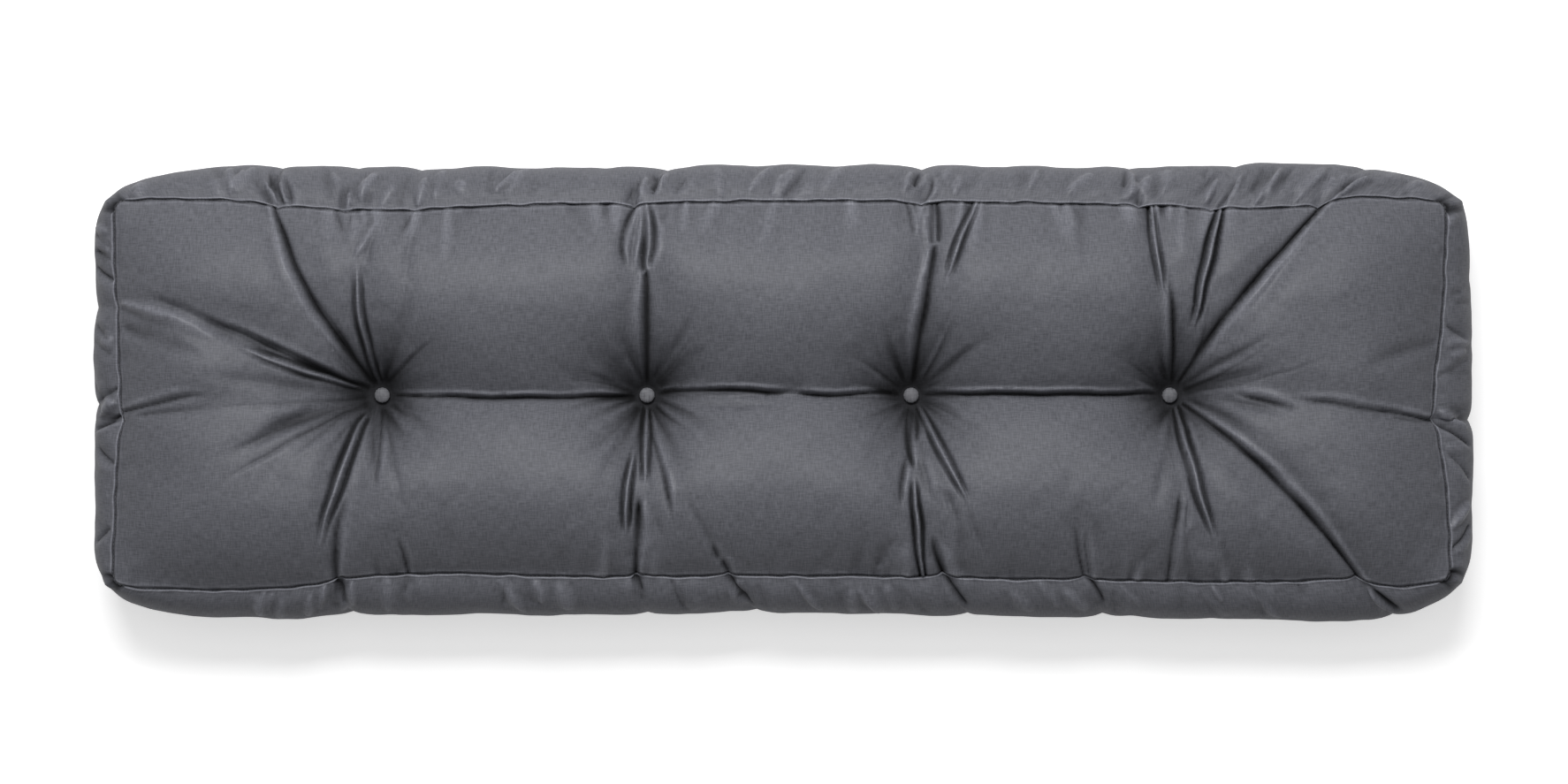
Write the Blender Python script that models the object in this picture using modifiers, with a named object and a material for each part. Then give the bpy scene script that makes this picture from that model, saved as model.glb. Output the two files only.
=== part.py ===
"""Bench cushion: a boxed pad sewn from a top panel, a bottom panel and a side band.

Four cloth-covered buttons draw the top panel down into a row of deep tufts. X runs along the
length, Y across the depth and Z up. The origin is on the floor, under the middle of the cushion.
Sizes are in millimetres here, and MM turns them into metres where points are placed.
"""

import math
from collections import namedtuple

import bmesh
import bpy
import numpy as np

MM = 0.001

# Heights above the floor
SEAM_HEIGHT = 99.0
LOWER_SEAM_HEIGHT = 18.0
CROWN = 43.0
TUFT_FLOOR = 66.0

# How the stuffing rounds the panels, as distances in from the seam
CROWN_REACH_ACROSS = 84.0
CROWN_REACH_ALONG = 100.0
CROWN_POWER = 2.1
UNDERSIDE_REACH = 34.0

# The side band: the corners of its widest line
CORNER_X = 586.0
CORNER_Y = 165.0

# Half sizes of the panel, for reading the seam lines by share
PANEL_X = 568.0
PANEL_Y = 160.0

# The row of tufts and its covered buttons
TUFT_X = (-346.8, -118.2, 109.8, 333.0)
TUFT_Y = -2.8
TUFT_RADIUS = 8.5
TUFT_REACH = 27.0
BUTTON_RADIUS = 6.6
BUTTON_EDGE = 2.4
BUTTON_DOME = 3.2
BUTTON_BEVEL = 0.9
BUTTON_GAP = 0.4
BUTTON_SIDES = 24
DOME_DEGREES = (0, 22, 44, 66, 82, 90)

# The channel where the two long pillows meet between the buttons
CHANNEL_DEPTH = 34.0
CHANNEL_REACH = 84.0
CHANNEL_POWER = 2.0
CHANNEL_FADE = 26.0

# A tuck at the seam, where the panel and the band are gathered in
TUCK_REACH = 8.0
TUCK_SINK = 0.7
TUCK_SPREAD = 18
END_TUCK_SPREAD = 54
BAND_CREASE_REACH = 6.0
BAND_CREASE_END = 0.75
BAND_CREASE_FADE = 0.5
LEAN_SHARE = 0.5

# The shapes across a fold of depth 1, in half widths of the fold
LIP_HEIGHT, LIP_PLACE, LIP_WIDTH, CREASE_STEEPNESS = 0.3, 2.3, 1.1, 1.1
PLEAT_HEIGHT, PLEAT_WIDTH, PLEAT_GROOVE = 0.55, 0.65, 1.3
LAP_HEIGHT, LAP_PLACE, LAP_WIDTH, LAP_EDGE, LAP_SHADOW = 0.4, 1.8, 1.2, 0.6, 1.1

# Mesh
CELL = 3.0
BAND_CELLS = 22
CURVE_STEPS = 20
NARROWEST_FOLD = 4.8
EYE_HEIGHT = 3000.0
LAYOUT_HEIGHT = 107.0
FOLD_CLEARANCE = 6.0
TRIANGLES_KEPT = 0.046
FLAT_TOLERANCE = 0.4
ON_FACE = 0.9999

# A line round the cushion: its distance "out" from the middle at each place "along" a side. The
# seam lines are the upper seam's, and the widest lines are where the band swells furthest.
LinePoint = namedtuple("LinePoint", "along out")
SEAM_BACK = [
    LinePoint(-573, 164),
    LinePoint(-480, 164),
    LinePoint(-373, 156),
    LinePoint(-200, 160),
    LinePoint(60, 163),
    LinePoint(300, 160),
    LinePoint(440, 159),
    LinePoint(485, 166),
    LinePoint(565, 163),
]
SEAM_FRONT = [
    LinePoint(-570, 166),
    LinePoint(-500, 169),
    LinePoint(-400, 165),
    LinePoint(-360, 159),
    LinePoint(-150, 158),
    LinePoint(50, 157),
    LinePoint(220, 160),
    LinePoint(420, 162),
    LinePoint(480, 161),
    LinePoint(515, 166),
    LinePoint(568, 162),
]
SEAM_LEFT = [
    LinePoint(-160, 574),
    LinePoint(-85, 571),
    LinePoint(0, 567),
    LinePoint(85, 571),
    LinePoint(160, 573),
]
SEAM_RIGHT = [
    LinePoint(-160, 570),
    LinePoint(-85, 566),
    LinePoint(5, 556),
    LinePoint(60, 562),
    LinePoint(150, 566),
]

WIDEST_BACK = [
    LinePoint(-586, 165),
    LinePoint(-574, 175),
    LinePoint(-558, 182),
    LinePoint(-531, 189),
    LinePoint(-501, 193.5),
    LinePoint(-450, 196.5),
    LinePoint(-400, 195.5),
    LinePoint(-220, 194),
    LinePoint(0, 196),
    LinePoint(120, 196),
    LinePoint(300, 194),
    LinePoint(460, 197),
    LinePoint(501, 194),
    LinePoint(531, 189),
    LinePoint(558, 182),
    LinePoint(574, 174),
    LinePoint(586, 165),
]
WIDEST_FRONT = [
    LinePoint(-586, 165),
    LinePoint(-573, 176),
    LinePoint(-556, 184.5),
    LinePoint(-534, 190.5),
    LinePoint(-501, 194),
    LinePoint(-450, 195.5),
    LinePoint(-350, 192.5),
    LinePoint(-150, 193),
    LinePoint(-20, 190.5),
    LinePoint(110, 193),
    LinePoint(250, 194.5),
    LinePoint(430, 197),
    LinePoint(490, 198),
    LinePoint(526, 195),
    LinePoint(558, 184.5),
    LinePoint(574, 176),
    LinePoint(586, 165),
]
WIDEST_LEFT = [
    LinePoint(-165, 586),
    LinePoint(-152, 592),
    LinePoint(-90, 595),
    LinePoint(0, 596),
    LinePoint(100, 595),
    LinePoint(152, 592),
    LinePoint(165, 586),
]
WIDEST_RIGHT = [
    LinePoint(-165, 586),
    LinePoint(-152, 591),
    LinePoint(-90, 595),
    LinePoint(0, 595),
    LinePoint(90, 593.5),
    LinePoint(150, 589),
    LinePoint(165, 586),
]

# A tuck pulls the seam in by "notch" at "at", and its crease cuts into the band. The crease has
# moved along by "lean" where it has come LEAN_SHARE of the way down.
Tuck = namedtuple("Tuck", "side at notch crease lean")
TUCKS = [
    Tuck("back", -432, 4.5, 5.0, 6),
    Tuck("back", -373, 2.5, 3.0, 12),
    Tuck("back", -316, 2.0, 3.5, 8),
    Tuck("back", -128, 5.0, 7.0, 26),
    Tuck("back", 117, 4.5, 7.0, -4),
    Tuck("back", 303, 3.5, 4.0, -16),
    Tuck("back", 364, 4.0, 4.5, 12),
    Tuck("back", 456, 6.0, 4.0, 30),
    Tuck("right", -23, 7.0, 7.0, 0),
    Tuck("front", 488, 6.0, 6.5, 24),
    Tuck("front", 257, 5.0, 5.5, 10),
    Tuck("front", 135, 5.0, 5.5, 18),
    Tuck("front", -48, 4.0, 6.0, 22),
    Tuck("front", -126, 4.0, 4.0, 9),
    Tuck("front", -378, 4.5, 6.0, 12),
    Tuck("left", -25, 4.5, 6.0, 16),
    Tuck("left", 72, 2.0, 2.5, 0),
]

# A fold is a curve through three points on the panel, with its half width and its depth. Each
# fade is the share of its length over which it grows from nothing at that end. The points are
# laid out as seen from the eye's height above the middle, on a plane at the layout's height.
Fold = namedtuple("Fold", "name kind start middle end width depth fade_in fade_out")
HOLLOWS = [
    Fold("back_left_far", "valley", (-342, -1), (-398, 78), (-432, 156), 22, 11, 0, 0.1),
    Fold("back_left_near", "valley", (-342, 0), (-361, 76), (-364, 152), 20, 7, 0, 0.3),
    Fold("upper_left", "valley", (-346, 1), (-430, 30), (-560, 92), 27, 9, 0, 0.3),
    Fold("left", "valley", (-350, -4), (-440, -6), (-556, -20), 22, 7, 0, 0.2),
    Fold("lower_left", "valley", (-350, -6), (-407, -26), (-479, -70), 26, 7, 0, 0.6),
    Fold("front_left", "valley", (-344, -6), (-370, -70), (-382, -152), 22, 12, 0, 0),
    Fold("back_two", "valley", (-116, 2), (-117, 80), (-124, 156), 25, 13, 0, 0.1),
    Fold("front_two", "valley", (-116, -8), (-120, -80), (-125, -154), 24, 12, 0, 0.1),
    Fold("back_three", "valley", (109, 2), (122, 80), (127, 158), 25, 13, 0, 0.1),
    Fold("front_three", "valley", (109, -8), (114, -80), (126, -154), 26, 12, 0, 0.1),
    Fold("back_four_near", "valley", (329, 2), (325, 80), (314, 156), 20, 7, 0, 0.1),
    Fold("back_four_far", "valley", (331, 2), (358, 90), (370, 156), 18, 7, 0, 0.1),
    Fold("back_right", "valley", (335, 3), (392, 81), (456, 156), 21, 12, 0, 0),
    Fold("right", "valley", (338, -1), (430, -6), (548, -22), 26, 8, 0, 0.1),
    Fold("front_right", "valley", (338, -8), (420, -79), (488, -155), 21, 12, 0, 0),
    Fold("front_four", "valley", (331, -8), (346, -70), (362, -150), 20, 9, 0, 0.1),
    Fold("front_middle", "valley", (258, -150), (254, -120), (250, -90), 16, 4, 0, 0.5),
]
CREASES = [
    Fold("diagonal_back_left", "crease", (-342, -1), (-402, 77), (-432, 153), 4.5, 9, 0, 0),
    Fold("pinch_back_left", "pinch", (-342, 2), (-361, 56), (-365, 111), 4.4, 3.5, 0, 0.3),
    Fold("upper_left_band", "valley", (-348, 0), (-419, 24), (-565, 95), 6.8, 6, 0, 0.25),
    Fold("left_band_high", "valley", (-565, 56), (-528, 40), (-486, 31), 7.5, 2.6, 0.1, 0.5),
    Fold("left_band_low", "valley", (-355, -2), (-426, 5), (-513, 17), 6.8, 3, 0.1, 0.5),
    Fold("left_seam_crease", "crease", (-564, -18), (-525, -8), (-485, -2), 5.3, 4.5, 0, 0.5),
    Fold("lower_left_band", "valley", (-350, -6), (-407, -20), (-479, -59), 6.8, 5, 0, 0.4),
    Fold("front_left_pleat", "pinch", (-354, -19), (-375, -59), (-400, -144), 5, 4.5, 0.1, 0.2),
    Fold("front_left_crease", "crease", (-370, -82), (-382, -126), (-379, -157), 4.4, 5.5, 0.3, 0),
    Fold("centre_one", "crease", (-337, -3), (-223, -5), (-122, -3), 5.3, 9, 0, 0),
    Fold("centre_two_back", "crease", (-111, -2), (-50, 2), (11, -2), 4.4, 6, 0, 0.1),
    Fold("centre_two_front", "crease", (-110, -5), (-53, -14), (9, -5), 4.4, 4.5, 0, 0.2),
    Fold("centre_two_end", "crease", (5, -3), (56, -2), (103, -2), 4.5, 8, 0.1, 0),
    Fold("centre_three", "crease", (114, -2), (222, -2), (324, -2), 5.3, 9, 0, 0),
    Fold("back_two_crease", "crease", (-117, 2), (-117, 55), (-118, 105), 4.4, 9, 0, 0.1),
    Fold("back_two_hem", "pinch", (-124, 156), (-128, 130), (-121, 103), 6, 4, 0, 0.3),
    Fold("front_two_pinch", "pinch", (-117, -8), (-118, -43), (-119, -81), 4.4, 4.5, 0, 0.25),
    Fold("front_two_deep", "crease", (-121, -80), (-126, -118), (-127, -154), 4.4, 7, 0.25, 0),
    Fold("front_two_hem", "valley", (-86, -85), (-66, -124), (-48, -153), 5, 3, 0.5, 0),
    Fold("back_three_crease", "crease", (109, 4), (119, 62), (130, 129), 4.4, 8.5, 0, 0.12),
    Fold("back_three_hem", "pinch", (129, 124), (129, 142), (128, 158), 5, 3.5, 0.1, 0),
    Fold("back_three_fan", "valley", (118, 9), (134, 35), (152, 75), 5, 3, 0.05, 0.45),
    Fold("front_three_crease", "crease", (107, -9), (105, -35), (111, -67), 4.4, 5.5, 0, 0.2),
    Fold("front_three_pinch", "pinch", (112, -72), (114, -111), (118, -151), 4.4, 4.8, 0.2, 0),
    Fold("front_three_right", "pinch", (114, -11), (134, -49), (159, -99), 4.4, 3.5, 0, 0.25),
    Fold("front_three_hem", "crease", (126, -121), (130, -139), (136, -154), 4.4, 4, 0.4, 0),
    Fold("back_four_crease", "crease", (330, 4), (333, 55), (328, 108), 4.4, 5, 0, 0.4),
    Fold("back_four_pinch", "pinch", (314, 157), (318, 120), (326, 78), 4.4, 3.2, 0, 0.35),
    Fold("back_four_right", "pinch", (371, 157), (362, 111), (348, 49), 4.6, 4.5, 0, 0.25),
    Fold("diagonal_back_right", "lap", (335, 5), (392, 81), (456, 154), 6, 10, 0, 0),
    Fold("right_fan_high", "valley", (344, 7), (380, 27), (422, 52), 5, 3, 0.05, 0.5),
    Fold("right_fan_middle", "valley", (338, 1), (376, 8), (419, 20), 5.3, 4.2, 0, 0.4),
    Fold("right_crease", "crease", (363, -4), (404, -8), (445, -17), 4.4, 3.6, 0.3, 0.4),
    Fold("right_seam_crease", "crease", (431, -6), (485, -13), (550, -23), 4.5, 4.4, 0.3, 0),
    Fold("diagonal_front_right", "crease", (340, -10), (420, -79), (488, -157), 4.5, 10, 0, 0),
    Fold("front_four_pinch", "pinch", (333, -11), (348, -61), (368, -132), 4.4, 4, 0, 0.2),
    Fold("front_four_left", "crease", (341, -81), (334, -115), (328, -160), 4.4, 3.8, 0.3, 0),
    Fold("front_middle_hem", "crease", (250, -109), (253, -132), (256, -156), 5, 3, 0.5, 0),
]

CLOTH_COLOUR = (0.126, 0.129, 0.143, 1.0)
BUTTON_COLOUR = (0.150, 0.153, 0.168, 1.0)
CLOTH_ROUGHNESS = 0.82
CLOTH_SHEEN = 0.25


def smooth(share):
    """A soft step from 0 to 1."""
    share = np.clip(share, 0.0, 1.0)
    return share * share * (3.0 - 2.0 * share)


def line_at(points, along):
    """A smooth curve through the points of a line, read at each place along its side."""
    place = np.array([point.along for point in points], float)
    out = np.array([point.out for point in points], float)
    slope = np.gradient(out, place)
    after = np.clip(np.searchsorted(place, along), 1, len(place) - 1)
    before = after - 1
    step = place[after] - place[before]
    t = np.clip((along - place[before]) / step, 0.0, 1.0)
    ease = t * t * (3 - 2 * t)
    level = out[before] + (out[after] - out[before]) * ease
    leaving = t * (1 - t) ** 2 * step * slope[before]
    arriving = t * t * (1 - t) * step * slope[after]
    return level + leaving - arriving


def side_lines(u, v, x, y, lines):
    """The line's distance out in X and in Y, each read on the side that the point belongs to."""
    back, front, right, left = lines
    out_x = np.where(u > 0, line_at(right, y), line_at(left, y))
    out_y = np.where(v > 0, line_at(back, x), line_at(front, x))
    return out_x, out_y


def notch_at(side, along):
    """How far the tucks of one side pull its seam inwards."""
    pull = np.zeros_like(along)
    for tuck in TUCKS:
        if tuck.side == side:
            pull += tuck.notch * np.exp(-np.abs(along - tuck.at) / TUCK_REACH)
    return pull


def tuck_pull(u, v, x, y):
    """How far the tucks pull a point in from its end and from its long side, fading inwards."""
    end = np.where(u > 0, notch_at("right", y), notch_at("left", y))
    long_side = np.where(v > 0, notch_at("back", x), notch_at("front", x))
    return end * np.abs(u) ** END_TUCK_SPREAD, long_side * np.abs(v) ** TUCK_SPREAD


def panel_plan(u, v):
    """Where a point of the square panel, with u and v from -1 to 1, lies inside the seam."""
    left, right = line_at(SEAM_LEFT, v * PANEL_Y), line_at(SEAM_RIGHT, v * PANEL_Y)
    front, back = line_at(SEAM_FRONT, u * PANEL_X), line_at(SEAM_BACK, u * PANEL_X)
    x = (u - 1) / 2 * left + (u + 1) / 2 * right
    y = (v - 1) / 2 * front + (v + 1) / 2 * back
    pull_x, pull_y = tuck_pull(u, v, x, y)
    return x - np.sign(u) * pull_x, y - np.sign(v) * pull_y


def seam_height(u, v, x, y):
    """The upper seam's height, a little lower at the tucks."""
    pull_x, pull_y = tuck_pull(u, v, x, y)
    return SEAM_HEIGHT - TUCK_SINK * (pull_x + pull_y)


def inside_seam(x, y):
    """The distances in from the seam at the nearer end and at the nearer long side."""
    from_end = np.minimum(x + line_at(SEAM_LEFT, y), line_at(SEAM_RIGHT, y) - x)
    from_side = np.minimum(y + line_at(SEAM_FRONT, x), line_at(SEAM_BACK, x) - y)
    return from_end, from_side


def fold_curve(fold):
    """Points along the fold's curve, which passes through its three points."""
    t = np.linspace(0.0, 1.0, CURVE_STEPS + 1)[:, None]
    start, middle, end = (np.array(point, float) for point in (fold.start, fold.middle, fold.end))
    return start * (1 - t) * (1 - 2 * t) + middle * 4 * t * (1 - t) + end * t * (2 * t - 1)


def along_curve(curve, x, y):
    """For each point, its signed distance from the curve and its share of the curve's length."""
    nearest = np.full(x.shape, np.inf)
    side = np.ones(x.shape)
    share = np.zeros(x.shape)
    for step in range(CURVE_STEPS):
        (ax, ay), (bx, by) = curve[step], curve[step + 1]
        dx, dy = bx - ax, by - ay
        t = np.clip(((x - ax) * dx + (y - ay) * dy) / (dx * dx + dy * dy), 0.0, 1.0)
        distance = np.hypot(x - ax - t * dx, y - ay - t * dy)
        closer = distance < nearest
        nearest = np.where(closer, distance, nearest)
        side = np.where(closer, np.sign(dx * (y - ay) - dy * (x - ax)), side)
        share = np.where(closer, (step + t) / CURVE_STEPS, share)
    return nearest * side, share


def bump(away, place, width):
    """A round bump of height 1, at a place and of a width in half widths of the fold."""
    return np.exp(-(((away - place) / width) ** 2))


def fold_profile(kind, across):
    """The height across a fold of depth 1, at a distance given in half widths."""
    away = np.abs(across)
    if kind == "valley":
        return -bump(away, 0.0, 1.0)
    if kind == "crease":
        return LIP_HEIGHT * bump(away, LIP_PLACE, LIP_WIDTH) - np.exp(-CREASE_STEEPNESS * away)
    if kind == "pinch":
        return PLEAT_HEIGHT * bump(away, 0.0, PLEAT_WIDTH) - bump(away, PLEAT_GROOVE, PLEAT_WIDTH)
    under = -np.exp(-away / LAP_SHADOW)
    over = LAP_HEIGHT * bump(away, LAP_PLACE, LAP_WIDTH) - np.exp(-away / LAP_EDGE)
    return np.where(across > 0, under, over)


def fold_height(fold, x, y):
    """The height that one fold adds to the panel."""
    width = max(fold.width, NARROWEST_FOLD)
    across, share = along_curve(fold_curve(fold), x, y)
    grown = np.ones_like(share)
    if fold.fade_in:
        grown *= smooth(share / fold.fade_in)
    if fold.fade_out:
        grown *= smooth((1 - share) / fold.fade_out)
    return fold.depth * grown * fold_profile(fold.kind, across / width)


def tuft_distance(x, y):
    """The distance from the edge of the nearest button's flat seat."""
    away = [np.hypot(x - tuft_x, y - TUFT_Y) for tuft_x in TUFT_X]
    return np.maximum(np.min(away, axis=0) - TUFT_RADIUS, 0.0)


def drawn_down(height, x, y):
    """The height after the nearest button has pulled it towards the tuft's floor."""
    return height + (TUFT_FLOOR - height) * np.exp(-tuft_distance(x, y) / TUFT_REACH)


def panel_height(x, y, u, v):
    """The height of the stuffed, tufted top panel."""
    from_end, from_side = inside_seam(x, y)
    across = 1 - (1 - np.clip(from_side / CROWN_REACH_ACROSS, 0, 1)) ** CROWN_POWER
    along = 1 - (1 - np.clip(from_end / CROWN_REACH_ALONG, 0, 1)) ** CROWN_POWER
    outside = np.maximum(np.maximum(TUFT_X[0] - x, x - TUFT_X[-1]), 0.0)
    between = np.exp(-outside / CHANNEL_FADE)
    beside = np.clip(1 - np.abs(y - TUFT_Y) / CHANNEL_REACH, 0, 1)
    height = seam_height(u, v, x, y) + CROWN * across * along
    height -= CHANNEL_DEPTH * between * beside**CHANNEL_POWER
    nearer = (EYE_HEIGHT - LAYOUT_HEIGHT) / (EYE_HEIGHT - drawn_down(height, x, y))
    seen_x, seen_y = x * nearer, y * nearer
    for fold in HOLLOWS:
        height += fold_height(fold, seen_x, seen_y) * across * along
    clear = smooth(tuft_distance(x, y) / FOLD_CLEARANCE)
    for fold in CREASES:
        height += fold_height(fold, seen_x, seen_y) * clear
    return drawn_down(height, x, y)


def band_crease(side, along, down):
    """How far the tucks' creases cut into the band. Down runs from 0 at the seam to 1 below."""
    cut = np.zeros_like(along)
    for tuck in TUCKS:
        if tuck.side == side:
            away = np.abs(along - tuck.at - tuck.lean * down / LEAN_SHARE)
            cut += tuck.crease * np.exp(-away / BAND_CREASE_REACH)
    return cut * smooth((BAND_CREASE_END - down) / BAND_CREASE_FADE)


def band_points(u, v, w):
    """The side band, between the upper seam at w = 1 and the lower seam at w = -1."""
    seam_x, seam_y = panel_plan(u, v)
    down = (1 - w) / 2
    swell = np.sin(math.pi * down)
    on_long_side = np.abs(v) >= np.abs(u)
    lines = (WIDEST_BACK, WIDEST_FRONT, WIDEST_RIGHT, WIDEST_LEFT)
    widest_x, widest_y = side_lines(u, v, u * CORNER_X, v * CORNER_Y, lines)
    long_crease = np.where(v > 0, band_crease("back", seam_x, down), band_crease("front", seam_x, down))
    end_crease = np.where(u > 0, band_crease("right", seam_y, down), band_crease("left", seam_y, down))
    out_x = np.where(on_long_side, u * CORNER_X, np.sign(u) * (widest_x - end_crease))
    out_y = np.where(on_long_side, np.sign(v) * (widest_y - long_crease), v * CORNER_Y)
    upper = seam_height(u, v, seam_x, seam_y)
    middle = (upper + LOWER_SEAM_HEIGHT) / 2
    height = middle + (upper - middle) * np.cos(math.pi * down)
    return seam_x + (out_x - seam_x) * swell, seam_y + (out_y - seam_y) * swell, height


def underside_points(u, v):
    """The bottom panel, flat on the floor and curving up to the lower seam."""
    x, y = panel_plan(u, v)
    from_end, from_side = inside_seam(x, y)
    across = np.clip(1 - from_side / UNDERSIDE_REACH, 0, 1) ** 2
    along = np.clip(1 - from_end / UNDERSIDE_REACH, 0, 1) ** 2
    return x, y, LOWER_SEAM_HEIGHT * np.clip(across + along - across * along, 0, 1)


def subdivided_cube(cells_x, cells_y, cells_z):
    """A cube of side 2 whose faces are cut into an even grid."""
    grid = bmesh.new()
    bmesh.ops.create_cube(grid, size=2.0)
    for axis, cells in enumerate((cells_x, cells_y, cells_z)):
        edges = [e for e in grid.edges if abs(e.verts[0].co[axis] - e.verts[1].co[axis]) > 1.0]
        bmesh.ops.subdivide_edges(grid, edges=edges, cuts=cells - 1, use_grid_fill=True)
    return grid


def shape_cushion(grid):
    """Moves every point of the cube's grid to its place on the cushion."""
    cube = np.array([vert.co[:] for vert in grid.verts])
    u, v, w = cube.T
    on_top = w > ON_FACE
    on_bottom = w < -ON_FACE
    placed = np.column_stack(band_points(u, v, w))
    top_x, top_y = panel_plan(u[on_top], v[on_top])
    top_z = panel_height(top_x, top_y, u[on_top], v[on_top])
    placed[on_top] = np.column_stack([top_x, top_y, top_z])
    placed[on_bottom] = np.column_stack(underside_points(u[on_bottom], v[on_bottom]))
    for vert, place in zip(grid.verts, placed * MM):
        vert.co = place


def cloth_material(name, colour):
    """A matt woven cloth with a slight sheen."""
    material = bpy.data.materials.new(name)
    material.use_nodes = True
    shader = material.node_tree.nodes["Principled BSDF"]
    shader.inputs["Base Color"].default_value = colour
    shader.inputs["Roughness"].default_value = CLOTH_ROUGHNESS
    shader.inputs["Metallic"].default_value = 0.0
    shader.inputs["Sheen Weight"].default_value = CLOTH_SHEEN
    return material


def thinned(obj, share):
    """Collapses the flatter faces, and puts the points of the resting face exactly on the floor."""
    decimate = obj.modifiers.new("thin", "DECIMATE")
    decimate.ratio = share
    mesh = bpy.data.meshes.new_from_object(obj.evaluated_get(bpy.context.evaluated_depsgraph_get()))
    obj.modifiers.clear()
    obj.data = mesh
    for vert in mesh.vertices:
        if vert.co.z < FLAT_TOLERANCE * MM:
            vert.co.z = 0.0


def make_cushion(collection):
    """The stuffed cover: top panel, side band and bottom panel as one filled solid."""
    grid = subdivided_cube(round(2 * PANEL_X / CELL), round(2 * PANEL_Y / CELL), BAND_CELLS)
    shape_cushion(grid)
    bmesh.ops.recalc_face_normals(grid, faces=grid.faces)
    mesh = bpy.data.meshes.new("cushion")
    grid.to_mesh(mesh)
    grid.free()
    cushion = bpy.data.objects.new("cushion", mesh)
    collection.objects.link(cushion)
    thinned(cushion, TRIANGLES_KEPT)
    cushion.data.materials.clear()
    cushion.data.materials.append(cloth_material("cushion_cloth", CLOTH_COLOUR))
    cushion.data.shade_smooth()
    return cushion


def button_profile():
    """Half the button's outline, from the top of its dome down its side to its flat back."""
    dome = [
        (BUTTON_RADIUS * math.sin(angle), BUTTON_EDGE + BUTTON_DOME * math.cos(angle))
        for angle in map(math.radians, DOME_DEGREES)
    ]
    return dome + [(BUTTON_RADIUS, BUTTON_BEVEL), (BUTTON_RADIUS - BUTTON_BEVEL, 0.0), (0.0, 0.0)]


def button_mesh():
    """The outline as an edge chain, for the Screw modifier to turn."""
    outline = [(x * MM, 0.0, z * MM) for x, z in button_profile()]
    mesh = bpy.data.meshes.new("button")
    mesh.from_pydata(outline, [(i, i + 1) for i in range(len(outline) - 1)], [])
    return mesh


def make_buttons(collection):
    """Four covered buttons, one on the flat seat of each tuft."""
    mesh = button_mesh()
    mesh.materials.append(cloth_material("button_cloth", BUTTON_COLOUR))
    for number, tuft_x in enumerate(TUFT_X, start=1):
        button = bpy.data.objects.new(f"button_{number}", mesh)
        collection.objects.link(button)
        button.location = (tuft_x * MM, TUFT_Y * MM, (TUFT_FLOOR + BUTTON_GAP) * MM)
        screw = button.modifiers.new("turned", "SCREW")
        screw.steps = BUTTON_SIDES
        screw.render_steps = BUTTON_SIDES
        screw.use_merge_vertices = True
        screw.merge_threshold = 0.00001


def main():
    for obj in list(bpy.data.objects):
        bpy.data.objects.remove(obj)
    collection = bpy.data.collections.new("bench_cushion")
    bpy.context.scene.collection.children.link(collection)
    make_cushion(collection)
    make_buttons(collection)


main()
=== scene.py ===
# %% [markdown]
# # A tufted bench cushion
#
# A long boxed cushion lies flat with its tufted face up. Its cover is sewn from a top panel, a
# side band and a bottom panel, and four covered buttons draw the top down into deep tufts. The
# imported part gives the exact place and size. This lesson makes the looks round it: the stuffed
# cover with every fold, the sewn seams, the buttons, the cloth, the light and the camera.

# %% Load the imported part
import math
from collections import namedtuple

import bmesh
import bpy
import numpy as np
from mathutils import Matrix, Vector


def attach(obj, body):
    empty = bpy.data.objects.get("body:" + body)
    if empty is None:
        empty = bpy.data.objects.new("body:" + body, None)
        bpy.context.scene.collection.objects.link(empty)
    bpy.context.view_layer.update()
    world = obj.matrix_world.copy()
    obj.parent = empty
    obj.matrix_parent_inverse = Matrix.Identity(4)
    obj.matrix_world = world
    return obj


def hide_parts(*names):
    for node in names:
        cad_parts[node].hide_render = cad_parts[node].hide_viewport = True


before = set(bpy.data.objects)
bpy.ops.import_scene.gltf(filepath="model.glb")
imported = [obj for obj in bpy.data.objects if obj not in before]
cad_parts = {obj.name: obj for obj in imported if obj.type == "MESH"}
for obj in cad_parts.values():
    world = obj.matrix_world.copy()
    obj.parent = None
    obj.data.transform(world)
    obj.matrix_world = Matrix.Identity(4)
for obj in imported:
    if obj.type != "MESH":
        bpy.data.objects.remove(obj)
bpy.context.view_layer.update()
MM = 0.001
TURN = 2 * math.pi
SEED = 7
rng = np.random.default_rng(SEED)

# %% [markdown]
# ## Measures
#
# The cushion's measures are in millimetres, as in the part, and become metres only where points
# are placed. Stitches, threads, floor, lights and camera are measured in metres. The two seams
# lie at fixed heights. Between them the band swells, above the upper one the stuffing lifts the
# panel into a crown, and under the lower one the bottom panel lies flat.

# %% Measures
SEAM_HEIGHT = 99.0
LOWER_SEAM_HEIGHT = 18.0
CROWN = 43.0
CROWN_REACH_ACROSS = 84.0
CROWN_REACH_ALONG = 100.0
CROWN_POWER = 2.1
UNDERSIDE_REACH = 34.0
CORNER_X, CORNER_Y = 586.0, 165.0
BAND_ARC = 125.0
PANEL_X, PANEL_Y = 568.0, 160.0

TUFT_X = (-346.8, -118.2, 109.8, 333.0)
TUFT_Y = -2.8
TUFT_FLOOR = 66.0
TUFT_RADIUS = 8.5
TUFT_REACH = 27.0
CHANNEL_DEPTH = 34.0
CHANNEL_REACH = 84.0
CHANNEL_POWER = 2.0
CHANNEL_FADE = 26.0

TUCK_REACH = 8.0
TUCK_SINK = 0.7
TUCK_SPREAD = 18
END_TUCK_SPREAD = 54
BAND_CREASE_REACH = 6.0
BAND_CREASE_END = 0.75
BAND_CREASE_FADE = 0.5
LEAN_SHARE = 0.5
print("seams at", SEAM_HEIGHT, "and", LOWER_SEAM_HEIGHT, "mm; crown", CROWN, "mm")

# %% [markdown]
# ## The lines of the seam and the band
#
# A cut panel is a rectangle, but a stuffed one isn't: its seam wanders, and the band swells out by
# different amounts along it. Short tables hold where the lines run, each read with a smooth curve.

# %% Lines round the cushion
LinePoint = namedtuple("LinePoint", "along out")


def line(*points):
    """A line round the cushion, from pairs of measures: along its side and out from the middle."""
    return [LinePoint(*point) for point in points]


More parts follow.
